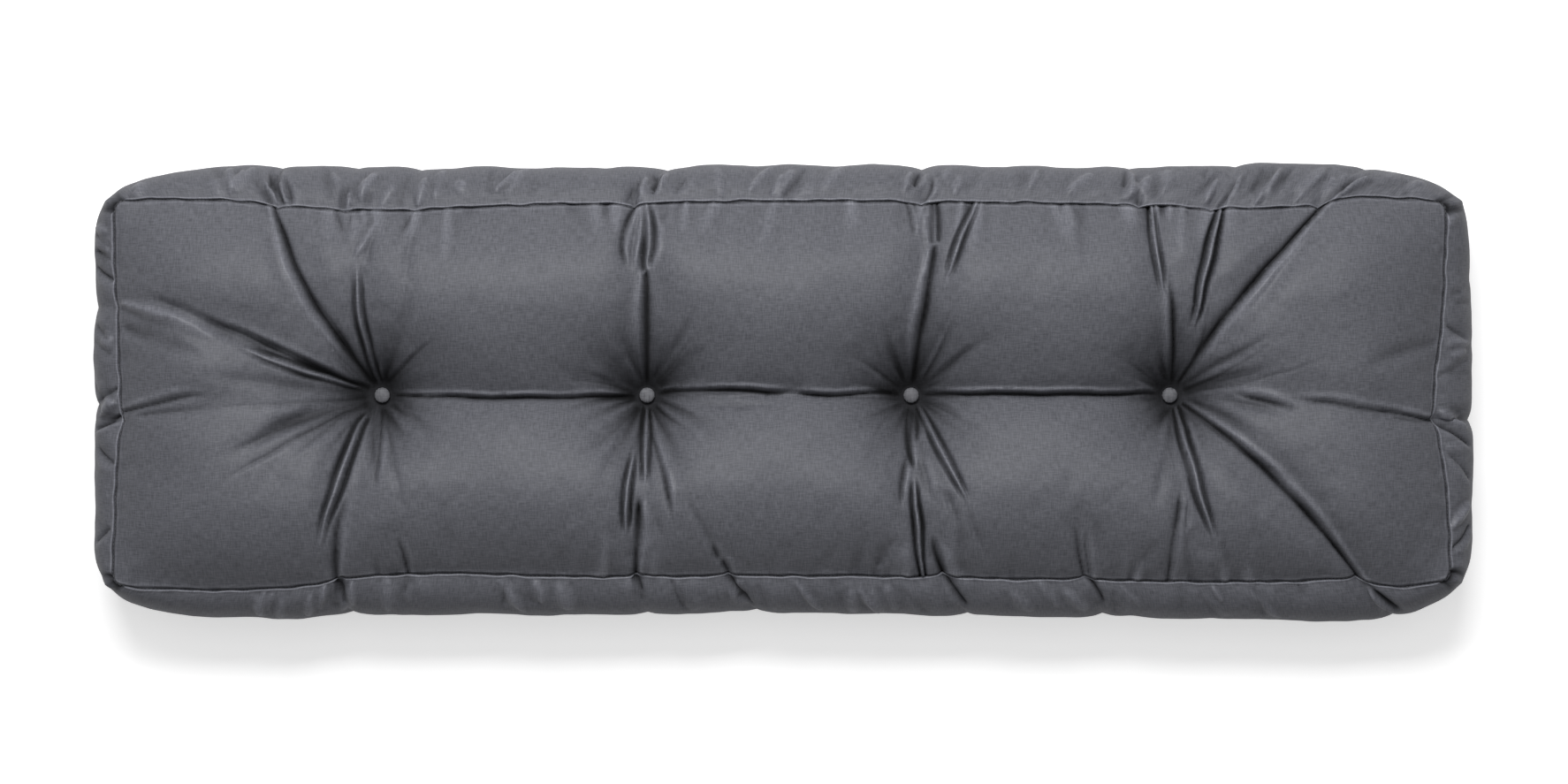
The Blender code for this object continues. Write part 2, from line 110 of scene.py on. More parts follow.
SEAM_BACK = line(
    (-573, 164), (-480, 164), (-373, 156), (-200, 160), (60, 163), (300, 160), (440, 159),
    (485, 166), (565, 163),
)
SEAM_FRONT = line(
    (-570, 166), (-500, 169), (-400, 165), (-360, 159), (-150, 158), (50, 157), (220, 160),
    (420, 162), (480, 161), (515, 166), (568, 162),
)
SEAM_LEFT = line(
    (-160, 574), (-85, 571), (0, 567), (85, 571), (160, 573),
)
SEAM_RIGHT = line(
    (-160, 570), (-85, 566), (5, 556), (60, 562), (150, 566),
)
WIDEST_BACK = line(
    (-586, 165), (-574, 175), (-558, 182), (-531, 189), (-501, 193.5), (-450, 196.5),
    (-400, 195.5), (-220, 194), (0, 196), (120, 196), (300, 194), (460, 197), (501, 194),
    (531, 189), (558, 182), (574, 174), (586, 165),
)
WIDEST_FRONT = line(
    (-586, 165), (-573, 176), (-556, 184.5), (-534, 190.5), (-501, 194), (-450, 195.5),
    (-350, 192.5), (-150, 193), (-20, 190.5), (110, 193), (250, 194.5), (430, 197), (490, 198),
    (526, 195), (558, 184.5), (574, 176), (586, 165),
)
WIDEST_LEFT = line(
    (-165, 586), (-152, 592), (-90, 595), (0, 596), (100, 595), (152, 592), (165, 586),
)
WIDEST_RIGHT = line(
    (-165, 586), (-152, 591), (-90, 595), (0, 595), (90, 593.5), (150, 589), (165, 586),
)
print("seam points:", sum(map(len, (SEAM_BACK, SEAM_FRONT, SEAM_LEFT, SEAM_RIGHT))))

# %% [markdown]
# ## Tucks and folds
#
# Where a fold reaches the seam, the sewing gathers both sides into a tuck: the seam is pulled
# inwards and a crease cuts on into the band. A tuck has a place along its side, says how far it
# pulls the seam in and how deep its crease cuts, and how far the crease leans on its way down.
#
# Each fold on the panel is a curve through three points, with a half width, a depth and a fade at
# either end. Folds have kinds: a valley is round, a crease has a sharp floor and a soft lip, a
# pinch stands up between two grooves, a ridge only stands up, and a lap lies over its neighbour.

# %% Tucks at the seam
Tuck = namedtuple("Tuck", "side at notch crease lean")
TUCKS = [
    Tuck("back", -432, 4.5, 5.0, 6),
    Tuck("back", -373, 2.5, 3.0, 12),
    Tuck("back", -316, 2.0, 3.5, 8),
    Tuck("back", -128, 5.0, 7.0, 26),
    Tuck("back", 117, 4.5, 7.0, -4),
    Tuck("back", 303, 3.5, 4.0, -16),
    Tuck("back", 364, 4.0, 4.5, 12),
    Tuck("back", 456, 6.0, 4.0, 30),
    Tuck("right", -23, 7.0, 7.0, 0),
    Tuck("front", 488, 6.0, 6.5, 24),
    Tuck("front", 257, 5.0, 5.5, 10),
    Tuck("front", 135, 5.0, 5.5, 18),
    Tuck("front", -48, 4.0, 6.0, 22),
    Tuck("front", -126, 4.0, 4.0, 9),
    Tuck("front", -378, 4.5, 6.0, 12),
    Tuck("left", -25, 4.5, 6.0, 16),
    Tuck("left", 72, 2.0, 2.5, 0),
]
print("tucks:", len(TUCKS))

# %% Broad hollows between the pillows
Fold = namedtuple("Fold", "name kind start middle end width depth fade_in fade_out")
HOLLOWS = [
    Fold("back_left_far", "valley", (-342, -1), (-398, 78), (-432, 156), 22, 11, 0, 0.1),
    Fold("back_left_near", "valley", (-342, 0), (-361, 76), (-364, 152), 20, 7, 0, 0.3),
    Fold("upper_left", "valley", (-346, 1), (-430, 30), (-560, 92), 27, 9, 0, 0.3),
    Fold("left", "valley", (-350, -4), (-440, -6), (-556, -20), 22, 7, 0, 0.2),
    Fold("lower_left", "valley", (-350, -6), (-407, -26), (-479, -70), 26, 7, 0, 0.6),
    Fold("front_left", "valley", (-344, -6), (-370, -70), (-382, -152), 22, 12, 0, 0),
    Fold("back_two", "valley", (-116, 2), (-117, 80), (-124, 156), 25, 13, 0, 0.1),
    Fold("front_two", "valley", (-116, -8), (-120, -80), (-125, -154), 24, 12, 0, 0.1),
    Fold("back_three", "valley", (109, 2), (122, 80), (127, 158), 25, 13, 0, 0.1),
    Fold("front_three", "valley", (109, -8), (114, -80), (126, -154), 26, 12, 0, 0.1),
    Fold("back_four_near", "valley", (329, 2), (325, 80), (314, 156), 20, 7, 0, 0.1),
    Fold("back_four_far", "valley", (331, 2), (358, 90), (370, 156), 18, 7, 0, 0.1),
    Fold("back_right", "valley", (335, 3), (392, 81), (456, 156), 21, 12, 0, 0),
    Fold("right", "valley", (338, -1), (430, -6), (548, -22), 26, 8, 0, 0.1),
    Fold("front_right", "valley", (338, -8), (420, -79), (488, -155), 21, 12, 0, 0),
    Fold("front_four", "valley", (331, -8), (346, -70), (362, -150), 20, 9, 0, 0.1),
    Fold("front_middle", "valley", (258, -150), (254, -120), (250, -90), 16, 4, 0, 0.5),
]
print("hollows:", len(HOLLOWS))

# %% Folds and wrinkles of the cloth
FOLDS = [
    Fold("diagonal_back_left", "crease", (-342, -1), (-402, 77), (-435, 161), 3.4, 9, 0, 0),
    Fold("pinch_back_left", "pinch", (-342, 2), (-361, 56), (-365, 111), 3.4, 3.5, 0.05, 0.3),
    Fold("soft_back_left", "valley", (-339, 5), (-327, 49), (-315, 104), 5.3, 2.5, 0.05, 0.5),
    Fold("upper_left_band", "valley", (-348, 0), (-419, 24), (-565, 95), 6.8, 4, 0.05, 0.25),
    Fold("upper_left_line", "crease", (-520, 78), (-416, 27), (-350, 2), 3, 3.4, 0.5, 0.05),
    Fold("upper_left_far", "ridge", (-566, 76), (-520, 62), (-470, 42), 5, 1.6, 0.05, 0.5),
    Fold("upper_left_ridge", "pinch", (-355, 2), (-419, 21), (-470, 41), 3, 2.5, 0.1, 0.4),
    Fold("left_band_high", "valley", (-565, 56), (-528, 40), (-486, 31), 7.5, 2.6, 0.1, 0.5),
    Fold("left_band_low", "valley", (-355, -2), (-426, 5), (-513, 17), 6.8, 2.8, 0.1, 0.5),
    Fold("left_seam_crease", "crease", (-564, -18), (-525, -8), (-485, -2), 3, 2.8, 0.02, 0.5),
    Fold("left_seam_under", "crease", (-555, -22), (-520, -17), (-470, -14), 3, 1.6, 0.2, 0.5),
    Fold("lower_left_band", "valley", (-350, -6), (-407, -20), (-479, -59), 6.8, 5, 0.05, 0.4),
    Fold("lower_left_line", "crease", (-362, -11), (-419, -41), (-486, -81), 2.3, 1.8, 0.15, 0.4),
    Fold("lower_left_under", "valley", (-354, -9), (-394, -33), (-441, -61), 5.3, 3, 0.05, 0.5),
    Fold("front_left_pleat", "pinch", (-354, -19), (-375, -59), (-400, -144), 3.8, 3.8, 0.1, 0.3),
    Fold("front_left_crease", "crease", (-370, -82), (-383, -126), (-380, -165), 3.2, 3.4, 0.4, 0),
    Fold("front_left_thin", "crease", (-343, -10), (-345, -47), (-351, -90), 2.3, 2.5, 0.05, 0.4),
    Fold("front_left_soft", "valley", (-349, -14), (-352, -43), (-355, -77), 3.8, 1.8, 0.1, 0.5),
    Fold("front_left_right", "valley", (-340, -13), (-335, -52), (-318, -123), 3.8, 2.4, 0.05, 0.5),
    Fold("front_left_hem", "crease", (-331, -121), (-325, -139), (-317, -168), 2.6, 2.4, 0.4, 0),
    Fold("front_left_far", "valley", (-337, -9), (-316, -22), (-300, -47), 4.5, 2, 0.05, 0.6),
    Fold("front_left_streak", "valley", (-292, -88), (-288, -126), (-284, -156), 6.8, 1, 0.5, 0.3),
    Fold("back_left_vee_a", "crease", (-384, 163), (-379, 145), (-376, 135), 2.6, 1.6, 0, 0.5),
    Fold("back_left_vee_b", "crease", (-366, 163), (-370, 145), (-373, 135), 2.6, 1.8, 0, 0.5),
    Fold("back_left_ridge", "ridge", (-346, 147), (-357, 129), (-370, 108), 2.6, 1.8, 0.3, 0.4),
    Fold("back_left_trough", "valley", (-352, 136), (-354, 120), (-356, 103), 3.4, 2, 0.4, 0.4),
    Fold("back_left_hem", "crease", (-312, 163), (-322, 144), (-329, 130), 2.6, 2, 0, 0.5),
    Fold("back_left_long", "valley", (-316, 145), (-320, 115), (-326, 82), 3.8, 1.4, 0.3, 0.5),
    Fold("centre_one", "crease", (-337, -3), (-223, -5), (-122, -3), 1.7, 8, 0, 0),
    Fold("tuft_two_left_low", "valley", (-122, -5), (-151, -8), (-185, -16), 3.8, 2.2, 0.05, 0.5),
    Fold("tuft_two_left_high", "valley", (-123, 0), (-147, 8), (-178, 19), 3.8, 2.4, 0.05, 0.5),
    Fold("centre_two_high", "crease", (-111, -2), (-50, 2), (11, -2), 1.7, 6, 0, 0.22),
    Fold("centre_two_low", "valley", (-110, -5), (-53, -12), (9, -7), 3, 1.6, 0.1, 0.5),
    Fold("centre_two_end", "crease", (5, -3), (56, -2), (103, -2), 1.7, 8, 0.18, 0),
    Fold("centre_two_tail", "crease", (45, -3), (75, -6), (103, -5), 1.7, 2, 0.3, 0.05),
    Fold("centre_three", "crease", (114, -2), (222, -2), (324, -2), 1.7, 8, 0, 0),
    Fold("centre_three_tail", "valley", (325, -6), (304, -7), (283, -5), 1.7, 1.6, 0.05, 0.5),
    Fold("back_two_crease", "crease", (-117, 2), (-117, 55), (-118, 106), 3.6, 9, 0, 0.08),
    Fold("back_two_left", "crease", (-123, 162), (-138, 132), (-132, 102), 2.6, 4.4, 0, 0.35),
    Fold("back_two_ridge", "ridge", (-119, 162), (-123, 129), (-128, 99), 2.4, 2.8, 0, 0.4),
    Fold("back_two_middle", "crease", (-119, 162), (-120, 130), (-120, 101), 2.4, 4.8, 0, 0.1),
    Fold("back_two_right", "crease", (-115, 162), (-111, 132), (-117, 103), 2.4, 4.2, 0, 0.2),
    Fold("back_two_fan_a", "valley", (-111, 10), (-93, 37), (-74, 78), 4.1, 2.8, 0.05, 0.5),
    Fold("back_two_fan_b", "valley", (-113, 10), (-105, 29), (-101, 55), 3, 1.6, 0.1, 0.5),
    Fold("back_two_fan_c", "valley", (-108, 5), (-87, 23), (-60, 41), 6, 2, 0.05, 0.6),
    Fold("back_two_fan_d", "valley", (-107, 2), (-83, 12), (-53, 19), 6, 1.6, 0.05, 0.6),
    Fold("back_two_fan_e", "valley", (-123, 8), (-135, 29), (-144, 53), 6.8, 1.8, 0.1, 0.6),
    Fold("back_two_hem_a", "valley", (-81, 153), (-86, 142), (-93, 126), 3.4, 1.2, 0.2, 0.5),
    Fold("back_two_hem_b", "valley", (-102, 154), (-104, 148), (-108, 141), 2.6, 1.2, 0.2, 0.5),
    Fold("front_two_pinch", "pinch", (-117, -8), (-118, -43), (-119, -81), 3, 4.5, 0, 0.25),
    Fold("front_two_right", "crease", (-113, -34), (-103, -73), (-94, -114), 2.4, 3.2, 0.2, 0.3),
    Fold("front_two_left", "pinch", (-126, -45), (-134, -85), (-135, -127), 2.9, 3.4, 0.25, 0.25),
    Fold("front_two_deep", "crease", (-123, -87), (-126, -122), (-127, -162), 3.2, 6.5, 0.25, 0),
    Fold("front_two_soft", "valley", (-123, -11), (-138, -39), (-159, -76), 4.5, 2.8, 0.05, 0.5),
    Fold("front_two_hem", "valley", (-86, -85), (-66, -124), (-48, -153), 3.8, 1.8, 0.5, 0),
    Fold("front_two_hem_a", "crease", (-62, -129), (-59, -137), (-56, -147), 2.3, 1.8, 0.4, 0.4),
    Fold("front_two_hem_b", "crease", (-53, -142), (-50, -148), (-43, -162), 2.6, 2.6, 0.4, 0),
    Fold("front_two_faint", "valley", (-111, -103), (-108, -114), (-104, -127), 3, 1.2, 0.4, 0.4),
    Fold("front_two_mark", "valley", (-190, -127), (-189, -142), (-188, -157), 6.8, 1.4, 0.5, 0.1),
    Fold("back_three_crease", "crease", (109, 4), (119, 62), (130, 129), 3.6, 8.5, 0, 0.08),
    Fold("back_three_split_a", "crease", (127, 126), (127, 144), (126, 168), 2.3, 4, 0.1, 0),
    Fold("back_three_split_b", "crease", (132, 127), (132, 144), (129, 168), 2.3, 4, 0.1, 0),
    Fold("back_three_left", "crease", (104, 165), (109, 144), (112, 127), 2.3, 2, 0, 0.4),
    Fold("back_three_vee_a", "crease", (110, 167), (113, 154), (115, 147), 2.3, 1.8, 0, 0.5),
    Fold("back_three_vee_b", "crease", (124, 168), (121, 155), (119, 149), 2.3, 1.8, 0, 0.5),
    Fold("back_three_ridge", "pinch", (166, 167), (150, 129), (136, 91), 3, 3.2, 0, 0.35),
    Fold("back_three_fan_a", "valley", (118, 9), (134, 35), (152, 75), 3.4, 3, 0.05, 0.45),
    Fold("back_three_fan_b", "valley", (115, 14), (130, 43), (146, 79), 3, 1.8, 0.1, 0.5),
    Fold("back_three_fan_c", "valley", (119, 5), (146, 26), (178, 50), 3.8, 2.8, 0.05, 0.5),
    Fold("back_three_fan_d", "valley", (101, 5), (91, 23), (84, 44), 6.8, 1.8, 0.05, 0.6),
    Fold("front_three_crease", "crease", (107, -9), (105, -35), (111, -67), 3, 5.5, 0, 0.12),
    Fold("front_three_second", "crease", (112, -11), (114, -28), (112, -47), 2.4, 2.8, 0, 0.3),
    Fold("front_three_left", "crease", (106, -52), (100, -77), (101, -103), 2.4, 3, 0.25, 0.3),
    Fold("front_three_pinch", "pinch", (112, -72), (114, -111), (119, -159), 2.9, 4.8, 0.2, 0),
    Fold("front_three_fork_a", "crease", (117, -52), (122, -73), (127, -96), 2.3, 2, 0.3, 0.4),
    Fold("front_three_fork_b", "crease", (115, -55), (118, -73), (123, -90), 2.3, 1.6, 0.3, 0.4),
    Fold("front_three_right", "pinch", (114, -11), (134, -49), (159, -99), 3, 3.2, 0, 0.25),
    Fold("front_three_low_a", "valley", (136, -82), (146, -107), (155, -148), 3.4, 2.4, 0.3, 0.3),
    Fold("front_three_low_b", "valley", (152, -90), (163, -118), (173, -144), 3, 1.8, 0.4, 0.4),
    Fold("front_three_hem", "crease", (126, -121), (130, -139), (139, -162), 3, 4, 0.4, 0),
    Fold("front_three_hem_left", "valley", (94, -123), (87, -137), (78, -151), 4.5, 1.8, 0.4, 0.2),
    Fold("back_four_crease", "crease", (330, 4), (333, 55), (328, 108), 2.7, 5, 0, 0.4),
    Fold("back_four_pinch", "pinch", (313, 165), (318, 120), (326, 78), 2.9, 3.2, 0, 0.35),
    Fold("back_four_right", "pinch", (373, 165), (362, 111), (348, 49), 3.4, 4.5, 0, 0.25),
    Fold("back_four_soft", "valley", (340, 58), (340, 43), (341, 26), 3, 1.5, 0.4, 0.4),
    Fold("diagonal_back_right", "lap", (335, 5), (392, 81), (463, 162), 3.3, 9.5, 0, 0),
    Fold("right_fan_high", "valley", (344, 7), (380, 27), (422, 52), 4.5, 3, 0.05, 0.5),
    Fold("right_fan_mid", "valley", (338, 1), (376, 8), (419, 20), 5.3, 4.2, 0.05, 0.4),
    Fold("right_crease_a", "crease", (380, 0), (411, -8), (445, -17), 3, 3.4, 0.35, 0.4),
    Fold("right_crease_b", "valley", (363, -6), (396, -11), (431, -20), 3.8, 2.8, 0.3, 0.4),
    Fold("right_seam_crease", "crease", (431, -6), (485, -13), (550, -23), 3, 2.8, 0.3, 0),
    Fold("right_seam_under", "crease", (517, -21), (533, -24), (550, -23), 2.6, 1.6, 0.3, 0),
    Fold("right_seam_band", "valley", (485, 23), (523, 31), (559, 44), 7.5, 2.2, 0.5, 0.1),
    Fold("diagonal_front_right", "crease", (340, -10), (422, -77), (495, -165), 3.1, 9.4, 0, 0),
    Fold("diagonal_front_soft", "valley", (347, -6), (376, -23), (406, -43), 4.9, 2.8, 0.1, 0.5),
    Fold("front_four_pinch", "pinch", (333, -11), (348, -61), (368, -132), 3.4, 4, 0, 0.22),
    Fold("front_four_end", "valley", (373, -118), (378, -145), (382, -172), 3.4, 2.2, 0.3, 0),
    Fold("front_four_left", "crease", (341, -81), (334, -115), (327, -168), 3.2, 2.8, 0.3, 0),
    Fold("front_four_thin", "crease", (345, -88), (344, -107), (339, -127), 2.3, 1.6, 0.4, 0.4),
    Fold("front_four_soft", "valley", (328, -41), (323, -69), (315, -103), 5.3, 2, 0.4, 0.4),
    Fold("front_four_faint", "valley", (318, -124), (311, -137), (303, -151), 5.3, 1.5, 0.4, 0.3),
    Fold("front_mid_hem_a", "crease", (249, -109), (251, -132), (256, -162), 3, 2.8, 0.5, 0),
    Fold("front_mid_hem_b", "crease", (257, -114), (258, -133), (261, -164), 2.6, 2.4, 0.5, 0),
    Fold("front_mid_hem_c", "valley", (267, -99), (268, -122), (270, -150), 3.8, 1.2, 0.5, 0.4),
    Fold("front_mid_streak", "valley", (225, -118), (228, -137), (231, -154), 4.5, 1, 0.5, 0.3),
]
print("folds:", len(FOLDS), "of which the deepest is", max(FOLDS, key=lambda fold: fold.depth).name)

# %% [markdown]
# ## Folds of the side band
#
# They are kept by side and kind. Each has three points, each with a place along the side in
# millimetres and a share of the way down the band, and then a half width and a depth.

# %% Creases of the side band
BandFold = namedtuple("BandFold", "side start middle end width depth kind")
BAND_ROWS = {
    ("back", "crease"): [
        ((-434, 0.38), (-431, 0.16), (-427, 0.01), 2.7, 1.9),
        ((-424, 0.28), (-420, 0.1), (-423, 0.01), 2.3, 1.5),
        ((-441, 0.15), (-439, 0.07), (-437, 0.01), 2.3, 1.2),
        ((-110, 0.38), (-112, 0.23), (-113, 0.12), 2.3, 3.0),
        ((-105, 0.36), (-109, 0.19), (-114, 0.07), 2.3, 2.6),
        ((-124, 0.14), (-126, 0.06), (-129, 0.0), 2.7, 2.2),
        ((112, 0.36), (110, 0.24), (109, 0.15), 2.3, 3.4),
        ((120, 0.25), (122, 0.12), (117, 0.03), 2.7, 3.0),
        ((283, 0.36), (284, 0.24), (285, 0.15), 2.3, 1.9),
        ((299, 0.15), (301, 0.07), (303, 0.01), 2.7, 2.0),
        ((352, 0.36), (351, 0.28), (350, 0.22), 2.3, 1.2),
        ((377, 0.23), (375, 0.1), (368, 0.0), 3.0, 2.5),
    ],
    ("back", "ridge"): [
        ((-347, 0.32), (-355, 0.21), (-365, 0.12), 3.8, 1.2),
        ((489, 0.24), (482, 0.15), (474, 0.07), 4.6, 1.5),
        ((-440, 0.21), (-435, 0.11), (-431, 0.02), 2.7, 1.3),
        ((-427, 0.23), (-426, 0.12), (-424, 0.02), 2.3, 1.4),
        ((-383, 0.32), (-379, 0.24), (-376, 0.17), 3.0, 1.0),
        ((-369, 0.15), (-371, 0.07), (-373, 0.01), 2.6, 1.5),
        ((-343, 0.32), (-353, 0.18), (-363, 0.07), 3.8, 1.4),
        ((-303, 0.28), (-308, 0.14), (-313, 0.02), 3.8, 1.3),
        ((-225, 0.36), (-236, 0.21), (-248, 0.1), 2.1, 1.7),
        ((-117, 0.29), (-122, 0.14), (-127, 0.02), 3.0, 1.6),
        ((-102, 0.29), (-104, 0.21), (-107, 0.14), 3.0, 1.4),
        ((104, 0.32), (102, 0.19), (101, 0.09), 3.0, 1.4),
        ((210, 0.33), (208, 0.2), (206, 0.11), 3.0, 1.1),
        ((290, 0.32), (292, 0.17), (294, 0.06), 3.0, 1.3),
        ((363, 0.27), (360, 0.14), (358, 0.03), 3.0, 1.4),
        ((383, 0.27), (379, 0.15), (376, 0.04), 3.0, 1.2),
        ((493, 0.23), (480, 0.11), (467, 0.0), 3.4, 1.7),
    ],
    ("front", "crease"): [
        ((-382, 0.0), (-376, 0.12), (-371, 0.32), 3.0, 2.7),
        ((-391, 0.16), (-392, 0.23), (-394, 0.31), 2.7, 1.2),
        ((-128, 0.0), (-125, 0.06), (-121, 0.16), 3.0, 2.0),
        ((-48, 0.0), (-37, 0.21), (-27, 0.32), 3.0, 2.5),
        ((136, 0.0), (145, 0.16), (152, 0.3), 3.0, 2.3),
        ((259, 0.0), (265, 0.11), (268, 0.25), 3.0, 2.3),
        ((501, 0.06), (508, 0.18), (516, 0.31), 3.4, 3.0),
    ],
    ("right", "crease"): [
        ((-25, 0.0), (-35, 0.16), (-47, 0.34), 2.8, 3.2),
        ((-52, 0.06), (-62, 0.18), (-76, 0.32), 3.4, 1.8),
        ((-134, 0.02), (-124, 0.16), (-110, 0.32), 3.2, 2.4),
        ((58, 0.03), (50, 0.16), (44, 0.3), 3.4, 1.8),
    ],
    ("right", "ridge"): [
        ((-15, 0.04), (-22, 0.16), (-31, 0.32), 3.6, 1.8),
        ((-118, 0.02), (-105, 0.14), (-92, 0.3), 3.6, 1.6),
    ],
    ("left", "crease"): [
        ((-20, 0.0), (-26, 0.16), (-34, 0.34), 2.8, 3.4),
        ((4, 0.02), (-2, 0.14), (-10, 0.32), 3.2, 2.4),
        ((95, 0.0), (100, 0.16), (108, 0.32), 3.2, 2.4),
        ((-62, 0.02), (-56, 0.16), (-48, 0.3), 3.6, 2.0),
        ((-116, 0.04), (-122, 0.16), (-131, 0.3), 3.4, 1.8),
    ],
    ("left", "ridge"): [
        ((-8, 0.04), (-14, 0.16), (-20, 0.3), 3.4, 1.8),
    ],
    ("back", "valley"): [
        ((-482, 0.43), (-479, 0.28), (-477, 0.2), 5.3, 0.8),
        ((-447, 0.23), (-443, 0.1), (-438, 0.0), 3.8, 1.0),
        ((-431, 0.34), (-426, 0.17), (-421, 0.04), 4.6, 0.9),
        ((-388, 0.38), (-386, 0.19), (-385, 0.06), 4.6, 0.9),
        ((-370, 0.21), (-374, 0.1), (-379, 0.0), 3.4, 1.2),
        ((-350, 0.15), (-355, 0.08), (-360, 0.02), 3.8, 0.9),
        ((-316, 0.34), (-323, 0.15), (-330, 0.01), 5.3, 0.9),
        ((-290, 0.32), (-294, 0.22), (-299, 0.14), 3.8, 0.7),
        ((-248, 0.33), (-250, 0.19), (-253, 0.09), 3.8, 0.9),
        ((-228, 0.21), (-234, 0.13), (-239, 0.07), 3.8, 0.7),
        ((-210, 0.29), (-214, 0.16), (-218, 0.06), 4.6, 0.6),
        ((-88, 0.32), (-91, 0.2), (-93, 0.11), 4.6, 0.7),
        ((126, 0.29), (129, 0.19), (131, 0.11), 3.8, 0.9),
        ((201, 0.33), (199, 0.21), (197, 0.12), 4.6, 0.8),
        ((308, 0.29), (312, 0.16), (315, 0.06), 4.6, 0.8),
        ((422, 0.33), (418, 0.19), (413, 0.09), 5.3, 0.8),
        ((480, 0.25), (470, 0.13), (459, 0.02), 4.6, 1.1),
    ],
    ("front", "valley"): [
        ((134, 0.0), (144, 0.14), (153, 0.31), 6.9, 1.3),
        ((261, 0.0), (264, 0.14), (267, 0.31), 5.3, 1.1),
        ((-128, 0.0), (-124, 0.12), (-120, 0.27), 4.6, 1.1),
        ((-50, 0.0), (-41, 0.13), (-33, 0.31), 6.1, 1.3),
        ((-383, 0.0), (-380, 0.14), (-377, 0.34), 5.3, 1.3),
        ((493, 0.02), (506, 0.15), (520, 0.34), 6.1, 1.3),
        ((-218, 0.02), (-216, 0.13), (-213, 0.26), 5.3, 0.6),
        ((-317, 0.02), (-320, 0.14), (-323, 0.28), 6.1, 0.6),
        ((41, 0.02), (44, 0.14), (47, 0.28), 5.3, 0.6),
        ((338, 0.02), (335, 0.14), (332, 0.28), 6.1, 0.7),
    ],
    ("front", "ridge"): [
        ((-392, 0.02), (-392, 0.14), (-393, 0.31), 3.0, 1.4),
        ((-369, 0.02), (-367, 0.14), (-364, 0.28), 3.0, 1.2),
    ],
}
BAND_FOLDS = [BandFold(side, *row, kind) for (side, kind), rows in BAND_ROWS.items() for row in rows]
print("band folds:", len(BAND_FOLDS))

# %% [markdown]
# ## Reading the tables
#
# A point of the panel is named by u and v, which run from -1 to 1 between opposite seams. That
# keeps the rows of the grid parallel to the seams, wherever these wander.

# %% Lines and tucks
WOBBLE = 0.22
WOBBLE_LENGTHS = (22.0, 30.0, 41.0, 57.0, 83.0)
CORNER_ROUNDING = 3.4
CORNER_ROUNDING_REACH = 5.0
WOBBLES = [(length, rng.uniform(0, TURN)) for length in WOBBLE_LENGTHS]


def smooth(share):
    """Eases a share from 0 to 1, without a kink at either end."""
    share = np.clip(share, 0.0, 1.0)
    return share * share * (3.0 - 2.0 * share)


def line_at(points, along):
    """A smooth curve through the points of a line, read at each place along its side."""
    place = np.array([point.along for point in points], float)
    out = np.array([point.out for point in points], float)
    slope = np.gradient(out, place)
    after = np.clip(np.searchsorted(place, along), 1, len(place) - 1)
    before = after - 1
    step = place[after] - place[before]
    t = np.clip((along - place[before]) / step, 0.0, 1.0)
    ease = t * t * (3 - 2 * t)
    level = out[before] + (out[after] - out[before]) * ease
    leaving = t * (1 - t) ** 2 * step * slope[before]
    arriving = t * t * (1 - t) * step * slope[after]
    return level + leaving - arriving


def notch_at(side, along):
    """How far the tucks of a side pull its seam in."""
    pull = np.zeros_like(along)
    for tuck in TUCKS:
        if tuck.side == side:
            pull += tuck.notch * np.exp(-np.abs(along - tuck.at) / TUCK_REACH)
    return pull


def tuck_pull(u, v, x, y):
    """How far the tucks pull a point in from its end and from its long side, fading inwards."""
    end = np.where(u > 0, notch_at("right", y), notch_at("left", y))
    long_side = np.where(v > 0, notch_at("back", x), notch_at("front", x))
    return end * np.abs(u) ** END_TUCK_SPREAD, long_side * np.abs(v) ** TUCK_SPREAD


def wobble(along):
    """A sewn line is never quite straight."""
    return sum(WOBBLE * np.sin(TURN * along / length + phase) for length, phase in WOBBLES)


def panel_plan(u, v):
    """Where a point of the panel lies inside the seam."""
    left, right = line_at(SEAM_LEFT, v * PANEL_Y), line_at(SEAM_RIGHT, v * PANEL_Y)
    front, back = line_at(SEAM_FRONT, u * PANEL_X), line_at(SEAM_BACK, u * PANEL_X)
    x = (u - 1) / 2 * left + (u + 1) / 2 * right
    y = (v - 1) / 2 * front + (v + 1) / 2 * back
    pull_x, pull_y = tuck_pull(u, v, x, y)
    pull_x += wobble(y + PANEL_X * u) * np.abs(u) ** END_TUCK_SPREAD
    pull_y += wobble(x + PANEL_X * v) * np.abs(v) ** TUCK_SPREAD
    from_corner = np.hypot((1 - np.abs(u)) * PANEL_X, (1 - np.abs(v)) * PANEL_Y)
    rounding = CORNER_ROUNDING * np.exp(-from_corner / CORNER_ROUNDING_REACH)
    pull_x, pull_y = pull_x + rounding, pull_y + rounding
    return x - np.sign(u) * pull_x, y - np.sign(v) * pull_y


def seam_height(u, v, x, y):
    """The height of the upper seam, which sinks a little at each tuck."""
    pull_x, pull_y = tuck_pull(u, v, x, y)
    return SEAM_HEIGHT - TUCK_SINK * (pull_x + pull_y)


def inside_seam(x, y):
    """The distances in from the seam at the nearer end and at the nearer long side."""
    from_end = np.minimum(x + line_at(SEAM_LEFT, y), line_at(SEAM_RIGHT, y) - x)
    from_side = np.minimum(y + line_at(SEAM_FRONT, x), line_at(SEAM_BACK, x) - y)
    return from_end, from_side


print("the panel's corner lies at", np.round(panel_plan(np.ones(1), np.ones(1)), 1).ravel(), "mm")

